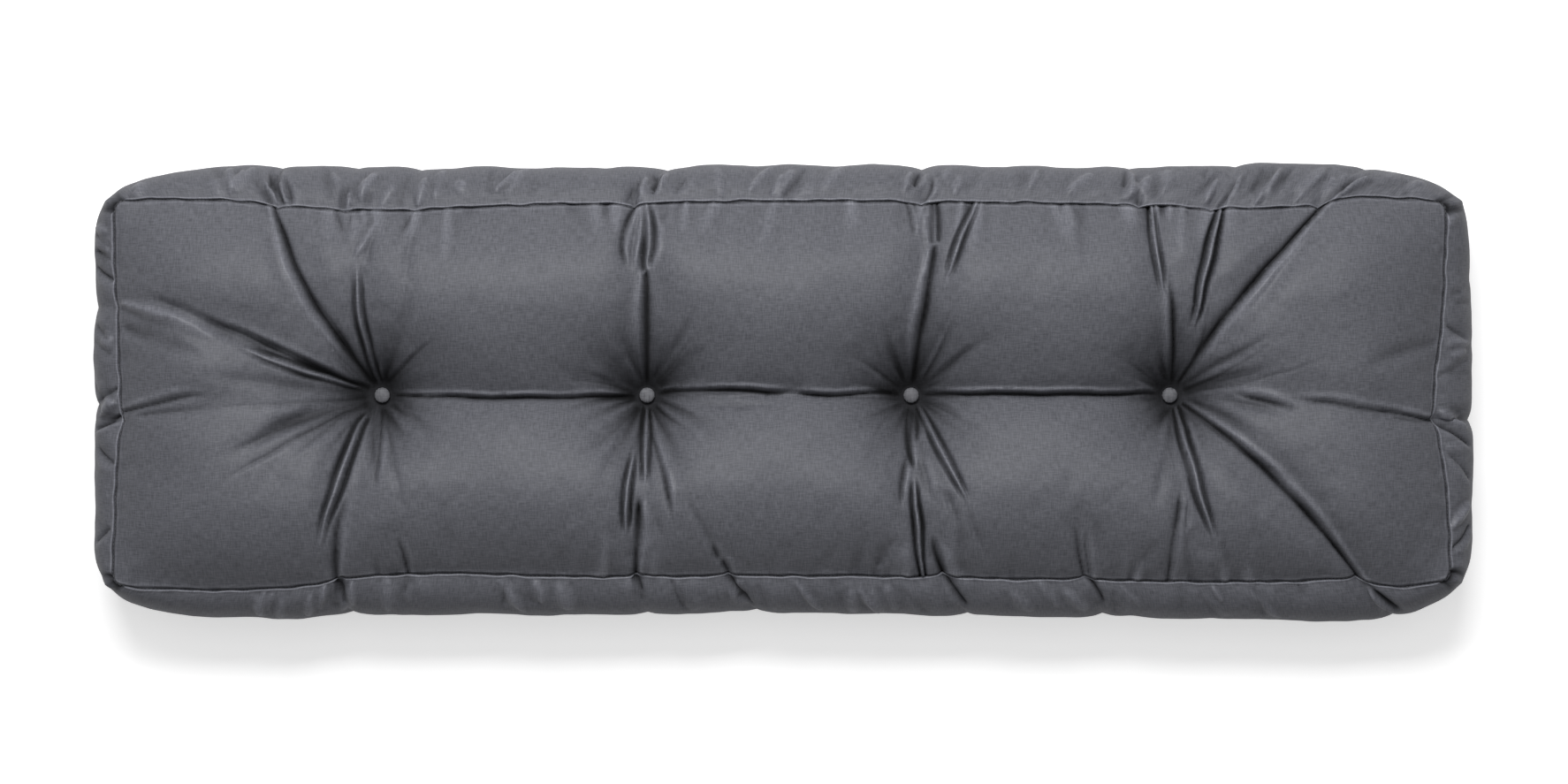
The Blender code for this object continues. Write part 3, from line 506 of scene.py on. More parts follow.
# %% Folds
CURVE_STEPS = 20
NARROWEST_FOLD = 1.7
FOLD_TAPER = 0.5
FOLD_CLEARANCE = 6.0
FOLD_SPAN = 7.0
SHARP_STRENGTH = 1.7
SOFT_STRENGTH = 1.5
SOFT_SHADE = 0.35
DEEPEST_FOLD = 9.0
EYE_HEIGHT = 3000.0
LAYOUT_HEIGHT = 107.0
LIP_HEIGHT, LIP_PLACE, LIP_WIDTH = 0.3, 2.2, 1.1
CREASE_CORE, CORE_STEEPNESS, CREASE_STEEPNESS = 0.5, 2.3, 0.95
PLEAT_HEIGHT, PLEAT_WIDTH, PLEAT_GROOVE = 0.8, 0.6, 1.3
LAP_HEIGHT, LAP_PLACE, LAP_WIDTH, LAP_EDGE, LAP_SHADOW = 0.4, 1.8, 1.2, 0.5, 1.1
RIDGE_FOOT, RIDGE_FOOT_DEPTH = 2.0, 0.3


def fold_curve(fold):
    """Points along the fold's curve, which passes through its three points."""
    t = np.linspace(0.0, 1.0, CURVE_STEPS + 1)[:, None]
    start, middle, end = (np.array(point, float) for point in (fold.start, fold.middle, fold.end))
    return start * (1 - t) * (1 - 2 * t) + middle * 4 * t * (1 - t) + end * t * (2 * t - 1)


def along_curve(curve, x, y):
    """For each point, its signed distance from the curve and its share of the curve's length."""
    nearest = np.full(x.shape, np.inf)
    side = np.ones(x.shape)
    share = np.zeros(x.shape)
    for step in range(len(curve) - 1):
        (ax, ay), (bx, by) = curve[step], curve[step + 1]
        dx, dy = bx - ax, by - ay
        t = np.clip(((x - ax) * dx + (y - ay) * dy) / (dx * dx + dy * dy), 0.0, 1.0)
        distance = np.hypot(x - ax - t * dx, y - ay - t * dy)
        closer = distance < nearest
        nearest = np.where(closer, distance, nearest)
        side = np.where(closer, np.sign(dx * (y - ay) - dy * (x - ax)), side)
        share = np.where(closer, (step + t) / (len(curve) - 1), share)
    return nearest * side, share


def bump(away, place, width):
    """A smooth hump of height 1 at a place."""
    return np.exp(-(((away - place) / width) ** 2))


def fold_profile(kind, across):
    """The height across a fold of depth 1, at a distance given in half widths."""
    away = np.abs(across)
    if kind == "valley":
        return -bump(away, 0.0, 1.0)
    if kind == "ridge":
        return bump(away, 0.0, 1.0) - RIDGE_FOOT_DEPTH * bump(away, RIDGE_FOOT, 1.0)
    if kind == "crease":
        floor = CREASE_CORE * np.exp(-CORE_STEEPNESS * away)
        floor += (1 - CREASE_CORE) * np.exp(-CREASE_STEEPNESS * away)
        return LIP_HEIGHT * bump(across, LIP_PLACE, LIP_WIDTH) - floor
    if kind == "pinch":
        return PLEAT_HEIGHT * bump(away, 0.0, PLEAT_WIDTH) - bump(away, PLEAT_GROOVE, PLEAT_WIDTH)
    under = -np.exp(-away / LAP_SHADOW)
    over = LAP_HEIGHT * bump(away, LAP_PLACE, LAP_WIDTH) - np.exp(-away / LAP_EDGE)
    return np.where(across > 0, under, over)


def add_fold(height, fold, x, y, weight):
    """Adds one fold to the heights, working only on the points near it."""
    width = fold.width
    curve = fold_curve(fold)
    low, high = curve.min(axis=0) - FOLD_SPAN * width, curve.max(axis=0) + FOLD_SPAN * width
    near = (x > low[0]) & (x < high[0]) & (y > low[1]) & (y < high[1])
    across, share = along_curve(curve, x[near], y[near])
    grown = np.ones_like(share)
    if fold.fade_in:
        grown *= smooth(share / fold.fade_in)
    if fold.fade_out:
        grown *= smooth((1 - share) / fold.fade_out)
    taper = 1 - FOLD_TAPER * (1 - np.sin(math.pi * share))
    width = np.maximum(width * taper, NARROWEST_FOLD)
    height[near] += fold.depth * grown * fold_profile(fold.kind, across / width) * weight[near]


print("fold kinds:", sorted({fold.kind for fold in FOLDS}))

# %% [markdown]
# ## Softness
#
# A hand-filled cushion is never even, so the folds of the tables get company, all of it from one
# fixed seed: gathers that run out from each button like spokes, finer creases beyond them, soft
# folds that run in from the long seams, slow swells of the stuffing, and puckers along the seam
# where the thread draws the cloth together.

# %% Gathers, swells and puckers
GATHER_COUNTS = (7, 9, 11, 13, 16, 19, 23)
GATHER_STRENGTHS = (0.5, 1.0)
GATHER_THINNING = 0.8
GATHER_HEIGHT = 1.0
GATHER_START = 9.0
GATHER_REACH = 34.0
GATHER_TWIST = 0.25
SWELL_WAVES = 16
SWELL_LENGTHS = (55.0, 150.0)
SWELL_HEIGHT = 0.2
RIPPLE_WAVES = 14
RIPPLE_LENGTHS = (14.0, 34.0)
RIPPLE_HEIGHT = 0.045
PUCKER_LENGTHS = (13.0, 34.0)
PUCKER_WAVES = 7
PUCKER_HEIGHT = 0.16
PUCKER_REACH = 7.0
FOLD_SHARES = (0.0, 0.5, 1.0)
RAYS = 38
RAY_START = 6.0
RAY_LENGTHS = (28.0, 78.0)
RAY_STRETCH = 1.3
RAY_BEND = 0.12
RAY_WIDTHS = (1.5, 3.4)
RAY_DEPTHS = (0.4, 1.6)
RAY_FADES = (0.08, 0.7)
END_TUFT = 300.0
HEM_FOLDS = 90
HEM_SPREAD = 48.0
HEM_START = 167.0
HEM_LENGTHS = (18.0, 62.0)
HEM_LEAN = (0.0, 0.35)
HEM_WIDTHS = (2.8, 6.5)
HEM_DEPTHS = (0.7, 2.3)
HEM_FADES = (0.0, 0.8)
WANDER_WAVES = 8
WANDER_LENGTHS = (30.0, 80.0)
WANDER = 0.2
FOLD_UNEVENNESS = 0.07


def waves(x, y, count, lengths, height):
    """A sum of gentle waves that run in random directions."""
    total = np.zeros_like(x)
    for _ in range(count):
        length = rng.uniform(*lengths)
        turn, phase = rng.uniform(0, TURN, 2)
        run = x * math.cos(turn) + y * math.sin(turn)
        total += height * np.sin(TURN * run / length + phase)
    return total


def tuft_gathers(x, y):
    """Fine folds that run out from each button. The finer ones end sooner."""
    total = np.zeros_like(x)
    for tuft_x in TUFT_X:
        away = np.hypot(x - tuft_x, y - TUFT_Y)
        turn = np.arctan2(y - TUFT_Y, x - tuft_x)
        start = smooth((away - GATHER_START) / GATHER_START)
        for count in GATHER_COUNTS:
            phase, strength = rng.uniform(0, TURN), rng.uniform(*GATHER_STRENGTHS)
            twist = rng.uniform(-1, 1) * GATHER_TWIST * np.log1p(away / GATHER_START)
            reach = GATHER_REACH * GATHER_COUNTS[0] / count**GATHER_THINNING
            fade = np.exp(-np.maximum(away - GATHER_START, 0) / reach)
            spoke = 1 - 2 * np.abs(np.sin((turn + twist) * count / 2 + phase))
            total += GATHER_HEIGHT * strength * start * fade * spoke
    return total


def tuft_rays():
    """Finer creases that run out from each button, the longest of them towards the ends."""
    rays = []
    for tuft_x in TUFT_X:
        for _ in range(RAYS):
            turn, bend = rng.uniform(0, TURN), rng.normal(0, RAY_BEND)
            outwards = max(0.0, math.cos(turn) * np.sign(tuft_x)) if abs(tuft_x) > END_TUFT else 0.0
            length = rng.uniform(*RAY_LENGTHS) * (1 + RAY_STRETCH * outwards)
            points = []
            for share in FOLD_SHARES:
                away, angle = RAY_START + length * share, turn + bend * share**2
                points.append((tuft_x + away * math.cos(angle), TUFT_Y + away * math.sin(angle)))
            width, depth = rng.uniform(*RAY_WIDTHS), rng.uniform(*RAY_DEPTHS)
            rays.append(Fold("ray", "crease", *points, width, depth, *RAY_FADES))
    return rays


def hem_folds():
    """Soft folds that run in from the two long seams, most of them opposite the buttons."""
    folds = []
    for _ in range(HEM_FOLDS):
        opposite, side = rng.choice(TUFT_X), rng.choice([-1, 1])
        x = opposite + rng.normal(0, HEM_SPREAD)
        length, lean = rng.uniform(*HEM_LENGTHS), (opposite - x) * rng.uniform(*HEM_LEAN)
        points = [(x + lean * t, side * (HEM_START - length * t)) for t in FOLD_SHARES]
        kind = rng.choice(["valley", "ridge"])
        width, depth = rng.uniform(*HEM_WIDTHS), rng.uniform(*HEM_DEPTHS)
        folds.append(Fold("hem", kind, *points, width, depth, *HEM_FADES))
    return folds


def puckers(along, away):
    """Small puckers beside a seam."""
    total = np.zeros_like(along)
    for _ in range(PUCKER_WAVES):
        length, phase = rng.uniform(*PUCKER_LENGTHS), rng.uniform(0, TURN)
        total += PUCKER_HEIGHT * np.sin(TURN * along / length + phase)
    return total * np.exp(-away / PUCKER_REACH)


print("gathers round each button:", sum(GATHER_COUNTS))

# %% [markdown]
# ## The top panel
#
# The height of a point is built up like the real thing: the seam, the crown of the stuffing, the
# channel between the buttons, the hollows and folds, and last the pull of the button, which
# brings the cloth down to the tuft's floor. The tables place each fold as it looks from the
# camera, so every point is looked up where the camera sees it. Folds, tufts and seams also get
# painted shade in the cloth's colour, and the backs of the folds and the lip of the seam get a
# painted highlight.

# %% Top panel
CELL = 1.2
SEAM_CELLS = (0.0, 0.5, 1.0, 1.6, 2.3, 3.2)
SEAM_DIP = 2.0
SEAM_DIP_REACH = 0.9
SHADE_IN_FOLD = 0.9
SHADE_DEPTH = 3.8
SHADE_POWER = 1.8
# painted highlight on the backs of the sharp folds
PAINTED_RIDGE_HIGHLIGHT = 0.46
RIDGE_HEIGHT = 1.4
TUFT_SHADE = 0.85
TUFT_SHADE_REACH = 20.0
TUFT_SHADE_POWER = 1.3
TUFT_SHADE_STAR = 0.5
SEAM_SHADE = 0.75
SEAM_SHADE_REACH = 0.8
END_SEAM_REACH = 1.4
# painted highlight along the lip beside the upper seam
SEAM_LIP_HIGHLIGHT = 0.38
SEAM_LIP = 0.7
SEAM_LIP_PLACE = 2.2
SEAM_LIP_WIDTH = 1.1


def grid_line(half_size):
    """Places from -1 to 1, closer together beside the seams."""
    inner = half_size - SEAM_CELLS[-1]
    even = np.linspace(-inner, inner, round(2 * inner / CELL) + 1)
    edge = half_size - np.array(SEAM_CELLS[:-1])
    return np.concatenate([-edge, even, edge[::-1]]) / half_size


def tuft_distance(x, y):
    """The distance from the edge of the nearest button's flat seat."""
    away = [np.hypot(x - tuft_x, y - TUFT_Y) for tuft_x in TUFT_X]
    return np.maximum(np.min(away, axis=0) - TUFT_RADIUS, 0.0)


def in_shade(depth):
    """How much painted shade darkens a fold's floor, for its depth below the cloth around it."""
    return SHADE_IN_FOLD * (1 - np.exp(-((np.maximum(depth, 0.0) / SHADE_DEPTH) ** SHADE_POWER)))


def painted_ridge_highlight(height):
    """How much a painted highlight brightens the cloth on a fold's back, for its height."""
    return PAINTED_RIDGE_HIGHLIGHT * (1 - np.exp(-np.maximum(height, 0.0) / RIDGE_HEIGHT))


def drawn_down(height, x, y):
    """The height after the nearest button has pulled it towards the tuft's floor."""
    return height + (TUFT_FLOOR - height) * np.exp(-tuft_distance(x, y) / TUFT_REACH)


def stuffed_height(x, y, u, v, full):
    """The crown of the stuffing and the channel between the buttons."""
    outside = np.maximum(np.maximum(TUFT_X[0] - x, x - TUFT_X[-1]), 0.0)
    between = np.exp(-outside / CHANNEL_FADE)
    beside = np.clip(1 - np.abs(y - TUFT_Y) / CHANNEL_REACH, 0, 1)
    height = seam_height(u, v, x, y) + CROWN * full
    return height - CHANNEL_DEPTH * between * beside**CHANNEL_POWER


def panel_folds(x, y, clear):
    """The heights of the soft and of the sharp folds. Both wander a little off their curves."""
    soft, sharp = np.zeros_like(x), np.zeros_like(x)
    near_x = x + waves(x, y, WANDER_WAVES, WANDER_LENGTHS, WANDER)
    near_y = y + waves(x, y, WANDER_WAVES, WANDER_LENGTHS, WANDER)
    uneven = 1 + waves(x, y, WANDER_WAVES, WANDER_LENGTHS, FOLD_UNEVENNESS)
    for fold in FOLDS + tuft_rays() + hem_folds():
        if fold.kind == "valley":
            add_fold(soft, fold, near_x, near_y, clear * uneven * SOFT_STRENGTH)
        else:
            strength = min(SHARP_STRENGTH, DEEPEST_FOLD / fold.depth)
            add_fold(sharp, fold, near_x, near_y, clear * uneven * strength)
    return soft, sharp


def tuft_shade(x, y):
    """The painted shade of the dark cone round each button, which reaches further out between the
    gathers.
    """
    shade = np.zeros_like(x)
    for tuft_x in TUFT_X:
        turn = np.arctan2(y - TUFT_Y, x - tuft_x)
        star = np.zeros_like(x)
        for count in GATHER_COUNTS:
            star += np.sin(turn * count + rng.uniform(0, TURN)) / len(GATHER_COUNTS)
        away = np.maximum(np.hypot(x - tuft_x, y - TUFT_Y) - TUFT_RADIUS, 0.0)
        reach = TUFT_SHADE_REACH * (1 + TUFT_SHADE_STAR * star)
        shade = np.maximum(shade, TUFT_SHADE * np.exp(-((away / reach) ** TUFT_SHADE_POWER)))
    return shade


def panel_shape(x, y, u, v):
    """The height of the stuffed, tufted panel, and the painted shade in its folds, tufts and seams;
    painted highlights make it negative.
    """
    from_end, from_side = inside_seam(x, y)
    across = 1 - (1 - np.clip(from_side / CROWN_REACH_ACROSS, 0, 1)) ** CROWN_POWER
    along = 1 - (1 - np.clip(from_end / CROWN_REACH_ALONG, 0, 1)) ** CROWN_POWER
    height = stuffed_height(x, y, u, v, across * along)
    nearer = (EYE_HEIGHT - LAYOUT_HEIGHT) / (EYE_HEIGHT - drawn_down(height, x, y))
    seen_x, seen_y = x * nearer, y * nearer
    for fold in HOLLOWS:
        add_fold(height, fold, seen_x, seen_y, across * along)
    soft, sharp = panel_folds(seen_x, seen_y, smooth(tuft_distance(x, y) / FOLD_CLEARANCE))
    gathers = tuft_gathers(x, y)
    height += soft + sharp + gathers
    inner = smooth(np.minimum(from_end, from_side) / CROWN_REACH_ACROSS)
    height += waves(x, y, SWELL_WAVES, SWELL_LENGTHS, SWELL_HEIGHT) * inner
    height += waves(x, y, RIPPLE_WAVES, RIPPLE_LENGTHS, RIPPLE_HEIGHT)
    height = drawn_down(height, x, y)
    in_end, in_side = (1 - np.abs(u)) * PANEL_X, (1 - np.abs(v)) * PANEL_Y
    in_seam = np.minimum(in_end, in_side)
    height += puckers(x, in_side) * smooth(in_end / PUCKER_REACH)
    height += puckers(y, in_end) * smooth(in_side / PUCKER_REACH)
    height -= SEAM_DIP * np.exp(-in_seam / SEAM_DIP_REACH)
    height += SEAM_LIP * bump(in_seam, SEAM_LIP_PLACE, SEAM_LIP_WIDTH)
    # Painted shade in the tufts, folds and seams, and painted highlights, all kept as one factor on the
    # colour.
    light = 1 - tuft_shade(x, y)
    light *= 1 - in_shade(-sharp - gathers - soft * SOFT_SHADE)
    # A painted highlight on the backs of the sharp folds.
    light *= 1 + painted_ridge_highlight(sharp)
    in_dark = np.minimum(in_end / END_SEAM_REACH, in_side / SEAM_SHADE_REACH)
    light *= 1 - SEAM_SHADE * np.exp(-in_dark)
    # A painted highlight on the lip beside the seam.
    light *= 1 + SEAM_LIP_HIGHLIGHT * bump(in_seam, SEAM_LIP_PLACE, SEAM_LIP_WIDTH)
    return height, 1 - light


u_line, v_line = grid_line(PANEL_X), grid_line(PANEL_Y)
u_grid, v_grid = np.meshgrid(u_line, v_line)
top_x, top_y = panel_plan(u_grid, v_grid)
top_z, top_shade = panel_shape(top_x, top_y, u_grid, v_grid)
top = np.stack([top_x, top_y, top_z], axis=-1)
print("top panel:", top.shape[1], "by", top.shape[0], "points, highest", round(top_z.max(), 1))

# %% [markdown]
# ## The side band
#
# The band leaves the panel's seam, swells out and comes back in to the lower seam. It is laid out
# as rings, each with one point for every point of the panel's edge. The tucks of the seam cut on
# into it.

# %% Side band
BAND_DOWN = np.array(
    [0.0, 0.004, 0.008, 0.012, 0.017, 0.023, 0.031, 0.042, 0.056]
    + list(np.linspace(0.075, 0.93, 34))
    + [0.95, 0.965, 0.975, 0.983, 0.989, 0.994, 1.0]
)
TINY = 1e-9


def edge_loop(rows, columns):
    """The grid's edge, once round and anticlockwise seen from above, as row and column numbers."""
    front = [(0, i) for i in range(columns - 1)]
    right = [(j, columns - 1) for j in range(rows - 1)]
    back = [(rows - 1, i) for i in range(columns - 1, 0, -1)]
    left = [(j, 0) for j in range(rows - 1, 0, -1)]
    return np.array(front + right + back + left)


def band_crease(side, along, down):
    """How far the tucks' creases cut into the band. Down runs from 0 at the seam to 1 below."""
    cut = np.zeros_like(along)
    for tuck in TUCKS:
        if tuck.side == side:
            away = np.abs(along - tuck.at - tuck.lean * down / LEAN_SHARE)
            cut += tuck.crease * np.exp(-away / BAND_CREASE_REACH)
    return cut * smooth((BAND_CREASE_END - down) / BAND_CREASE_FADE)


def band_ring(u, v, down):
    """One ring of the band."""
    seam_x, seam_y = panel_plan(u, v)
    out_x, out_y = u * CORNER_X, v * CORNER_Y
    widest_x = np.where(u > 0, line_at(WIDEST_RIGHT, out_y), line_at(WIDEST_LEFT, out_y))
    widest_y = np.where(v > 0, line_at(WIDEST_BACK, out_x), line_at(WIDEST_FRONT, out_x))
    cut_x = np.where(u > 0, band_crease("right", seam_y, down), band_crease("left", seam_y, down))
    cut_y = np.where(v > 0, band_crease("back", seam_x, down), band_crease("front", seam_x, down))
    on_long_side = np.abs(v) >= np.abs(u)
    out_x = np.where(on_long_side, out_x, np.sign(u) * (widest_x - cut_x))
    out_y = np.where(on_long_side, np.sign(v) * (widest_y - cut_y), out_y)
    upper = seam_height(u, v, seam_x, seam_y)
    middle = (upper + LOWER_SEAM_HEIGHT) / 2
    height = middle + (upper - middle) * math.cos(math.pi * down)
    swell = math.sin(math.pi * down)
    x, y = seam_x + (out_x - seam_x) * swell, seam_y + (out_y - seam_y) * swell
    return np.column_stack([x, y, height])


def ring_normals(rings):
    """Outward normals of a stack of closed rings."""
    along = np.roll(rings, -1, axis=1) - np.roll(rings, 1, axis=1)
    normals = np.cross(np.gradient(rings, axis=0), along)
    return normals / np.maximum(np.linalg.norm(normals, axis=2, keepdims=True), TINY)


edge = edge_loop(*u_grid.shape)
edge_u, edge_v = u_grid[edge[:, 0], edge[:, 1]], v_grid[edge[:, 0], edge[:, 1]]
edge_side = np.where(
    np.abs(edge_v) >= np.abs(edge_u),
    np.where(edge_v > 0, "back", "front"),
    np.where(edge_u > 0, "right", "left"),
)
band = np.stack([band_ring(edge_u, edge_v, down) for down in BAND_DOWN])
print("side band:", band.shape[0], "rings of", band.shape[1], "points")

# %% [markdown]
# ## Creases, corners and seams of the band
#
# All that stands out of the band or cuts into it is added up as one push along the surface
# normals: the creases of the table, looser folds at random places, the corners, slow swells,
# puckers, and the dip and raised lip of both seams. Each corner has a soft ear, a groove on either
# side of it and a pocket under the seam. The folds are held back where the band is widest, so the
# outline stays calm. The same sums give painted shade in the creases and a painted highlight on the
# backs of the folds. The corner grooves, the pocket and the seams get painted shade too, and each
# seam's lip a painted highlight.

# %% Relief of the band
LONG_SIDES = ("back", "front")
BAND_DIP = 2.0
BAND_DIP_REACH = 0.6
BAND_LIP = 1.3
BAND_LIP_PLACE = 1.5
BAND_LIP_WIDTH = 0.9
# painted highlight on the band's lip beside both seams
BAND_LIP_HIGHLIGHT = 1.0
BAND_FOLD_STRENGTH = 1.7
BAND_FADE = 0.15
BAND_SWELL_START = 15.625
BAND_SWELL_WAVES = 14
BAND_SWELL_LENGTHS = (45.0, 130.0)
BAND_SWELL_STRETCH = 0.35
BAND_SWELL_HEIGHT = 0.2
EAR_HEIGHT = 2.6
EAR_WIDTH = 4.0
EAR_START = 10.0
GROOVE_DEPTH = 3.6
GROOVE_PLACE = 6.0
GROOVE_WIDTH = 2.4
GROOVE_SHADE = 0.8
POCKET_DEPTH = 3.5
POCKET_WIDTH = 7.0
POCKET_DOWN = 3.5
POCKET_TALL = 4.0
POCKET_SHADE = 0.92
CORNER_END = 0.42
BAND_SHADE_GAIN = 1.1
OUTLINE_CALM = 0.6
OUTLINE_START, OUTLINE_SPAN = 0.28, 0.16
LOOSE_FOLDS = 130
LOOSE_SIDES = {"back": 0.38, "front": 0.38, "right": 0.12, "left": 0.12}
LOOSE_LENGTHS = (16.0, 44.0)
LOOSE_SLANT = (-0.1, 0.65)
LOOSE_START = 0.1
LOOSE_WIDTHS = (2.6, 6.5)
LOOSE_DEPTHS = (0.6, 2.2)


def band_fold_depth(fold):
    """How far one fold moves the band in or out, on its own side only."""
    points = [(place, down * BAND_ARC) for place, down in (fold.start, fold.middle, fold.end)]
    flat = Fold("band", fold.kind, *points, fold.width, fold.depth, BAND_FADE, BAND_FADE)
    moved = np.zeros_like(along_band)
    add_fold(moved, flat, along_band, down_mm, np.broadcast_to(edge_side == fold.side, moved.shape))
    return moved


def loose_fold():
    """A crease or ridge that hangs from a random place just under the seam."""
    side = rng.choice(list(LOOSE_SIDES), p=list(LOOSE_SIDES.values()))
    half = PANEL_X if side in LONG_SIDES else PANEL_Y
    place, start = rng.uniform(-half, half), rng.uniform(0.0, LOOSE_START) * BAND_ARC
    length, slant = rng.uniform(*LOOSE_LENGTHS), rng.uniform(*LOOSE_SLANT)
    points = [
        (place + slant * length * t, (start + length * t) / BAND_ARC) for t in reversed(FOLD_SHARES)
    ]
    kind = rng.choice(["crease", "ridge"])
    return BandFold(side, *points, rng.uniform(*LOOSE_WIDTHS), rng.uniform(*LOOSE_DEPTHS), kind)


def corner_distance(way):
    """The way round the seam from each of its points to the nearest corner."""
    corners = np.flatnonzero((np.abs(edge_u) == 1) & (np.abs(edge_v) == 1))
    away = np.abs(way - way[corners][:, None])
    return np.minimum(away, way.max() - away).min(axis=0)


steps = np.linalg.norm(np.diff(band, axis=0), axis=2)
band_arc = np.vstack([np.zeros(len(edge)), np.cumsum(steps, axis=0)])
band_left = band_arc[-1] - band_arc
around = np.cumsum(np.linalg.norm(band[0] - np.roll(band[0], 1, axis=0), axis=1))
around = np.repeat(around[None], len(BAND_DOWN), axis=0)
along_seam = np.where(np.isin(edge_side, LONG_SIDES), band[0, :, 0], band[0, :, 1])
along_band = np.repeat(along_seam[None], len(BAND_DOWN), axis=0)
down_mm = np.repeat(BAND_DOWN[:, None] * BAND_ARC, len(edge), axis=1)
push = np.zeros(band.shape[:2])
for fold in BAND_FOLDS:
    push += BAND_FOLD_STRENGTH * band_fold_depth(fold)
for _ in range(LOOSE_FOLDS):
    push += band_fold_depth(loose_fold())
# Painted shade in the band's creases and a painted highlight on the backs of its folds.
band_light = (1 - in_shade(-push * BAND_SHADE_GAIN)) * (1 + painted_ridge_highlight(push))
push *= 1 - OUTLINE_CALM * smooth((BAND_DOWN[:, None] - OUTLINE_START) / OUTLINE_SPAN)
from_corner = corner_distance(around[0])[None]
upper_part = smooth((CORNER_END - BAND_DOWN) / CORNER_END)[:, None]
groove = bump(from_corner, GROOVE_PLACE, GROOVE_WIDTH) * upper_part
pocket = bump(from_corner, 0.0, POCKET_WIDTH) * bump(band_arc, POCKET_DOWN, POCKET_TALL)
ear = bump(from_corner, 0.0, EAR_WIDTH) * upper_part * smooth(band_arc / EAR_START)
push += EAR_HEIGHT * ear - GROOVE_DEPTH * groove - POCKET_DEPTH * pocket
# Painted shade in the corner pocket and grooves.
band_light *= (1 - POCKET_SHADE * pocket) * (1 - GROOVE_SHADE * groove)
inside = smooth(band_arc / BAND_SWELL_START) * smooth(band_left / BAND_SWELL_START)
stretched = band_arc * BAND_SWELL_STRETCH
push += waves(around, stretched, BAND_SWELL_WAVES, BAND_SWELL_LENGTHS, BAND_SWELL_HEIGHT) * inside
push += waves(around, band_arc, RIPPLE_WAVES, RIPPLE_LENGTHS, RIPPLE_HEIGHT) * inside
for arc in (band_arc, band_left):
    # Painted shade in each seam's groove and a painted highlight on its lip.
    lip = bump(arc, BAND_LIP_PLACE, BAND_LIP_WIDTH)
    push += puckers(around, arc) * smooth(arc / PUCKER_REACH)
    push += BAND_LIP * lip - BAND_DIP * np.exp(-arc / BAND_DIP_REACH)
    band_light *= (1 - SEAM_SHADE * np.exp(-arc / SEAM_SHADE_REACH)) * (1 + BAND_LIP_HIGHLIGHT * lip)
band_shade = 1 - band_light
band += push[..., None] * ring_normals(band)
band[0] = top[edge[:, 0], edge[:, 1]]
print("relief of the band:", round(push.min(), 1), "to", round(push.max(), 1), "mm")

# %% [markdown]
# ## Letting the cloth settle
#
# A sewn cover has a little more cloth than its stuffing needs, and the spare part gathers into
# soft wrinkles that no table can list. That is work for the cloth simulation. A coarse copy of
# the panel and band is held at its seams, tufts and creases, is made slightly too large and is
# blown up from inside. Each point's way is capped, smoothed and laid over the fine surface,
# because a simulation as fine as the surface itself would take far too long.

# %% Coarse copy for the simulation
SETTLE_CELL = 6.0
SETTLE_RINGS = 16
HELD_SHADE = 0.12
HELD_TUFT = 9.0


def ring_faces(first, second):
    """Quads between two closed rings of point numbers."""
    return np.column_stack([first, np.roll(first, -1), np.roll(second, -1), second])


def point_numbers(points, start=0):
    """A number for each point of a grid or stack of rings, counted from the start."""
    rows, columns = points.shape[:2]
    return start + np.arange(rows * columns).reshape(rows, columns)


def sheet_faces(numbers, above, rings):
    """Quads of a grid of point numbers, and of the rings that hang below its edge."""
    corners = [numbers[:-1, :-1], numbers[:-1, 1:], numbers[1:, 1:], numbers[1:, :-1]]
    quads = [np.stack([corner.ravel() for corner in corners], axis=1)]
    for ring in rings:
        quads.append(ring_faces(above, ring)[:, ::-1])
        above = ring
    return np.concatenate(quads).tolist()


def even_picks(line, step):
    """The numbers of the line's points that lie nearest to even steps along it."""
    count = round((line[-1] - line[0]) / step) + 1
    return np.unique(np.searchsorted(line, np.linspace(line[0], line[-1], count) - TINY))


rows, columns = even_picks(v_line * PANEL_Y, SETTLE_CELL), even_picks(u_line * PANEL_X, SETTLE_CELL)
down_picks = even_picks(BAND_DOWN, 1 / SETTLE_RINGS)[1:]
on_edge = np.flatnonzero(np.isin(edge[:, 0], rows) & np.isin(edge[:, 1], columns))
coarse_top = top[np.ix_(rows, columns)]
coarse_band = band[np.ix_(down_picks, on_edge)]
held_top = (top_shade > HELD_SHADE) | (tuft_distance(top_x, top_y) < HELD_TUFT)
held_top = held_top[np.ix_(rows, columns)]
held_top[[0, -1]], held_top[:, [0, -1]] = True, True
held_band = (band_shade > HELD_SHADE)[np.ix_(down_picks, on_edge)]
held_band[-1] = True
print("coarse copy:", held_top.size + held_band.size, "points")

# %% Cloth simulation
SETTLE_FRAMES = 20
PRESSURE = 4.0
SPARE_CLOTH = 0.02
CLOTH_WEIGHT = 0.3
STRETCH, BENDING = 15.0, 0.2
MOST_MOVE = 0.8
LEAST_MOVE = 1e-6
BAND_SHARE = 0.4


def add_object(name, data):
    """A new object of the scene, at the origin."""
    obj = bpy.data.objects.new(name, data)
    bpy.context.scene.collection.objects.link(obj)
    return obj


def coarse_object():
    """The coarse copy as an object with its held points in a group, and all its points."""
    numbers = point_numbers(coarse_top)
    row_of = np.searchsorted(rows, edge[on_edge, 0])
    column_of = np.searchsorted(columns, edge[on_edge, 1])
    rings = point_numbers(coarse_band, numbers.size)
    faces = sheet_faces(numbers, numbers[row_of, column_of], rings)
    points = np.concatenate([coarse_top.reshape(-1, 3), coarse_band.reshape(-1, 3)])
    mesh = bpy.data.meshes.new("settling_cloth")
    mesh.from_pydata((points * MM).tolist(), [], faces)
    obj = add_object("settling_cloth", mesh)
    held = np.flatnonzero(np.concatenate([held_top.ravel(), held_band.ravel()]))
    obj.vertex_groups.new(name="held").add(held.tolist(), 1.0, "REPLACE")
    return obj, points


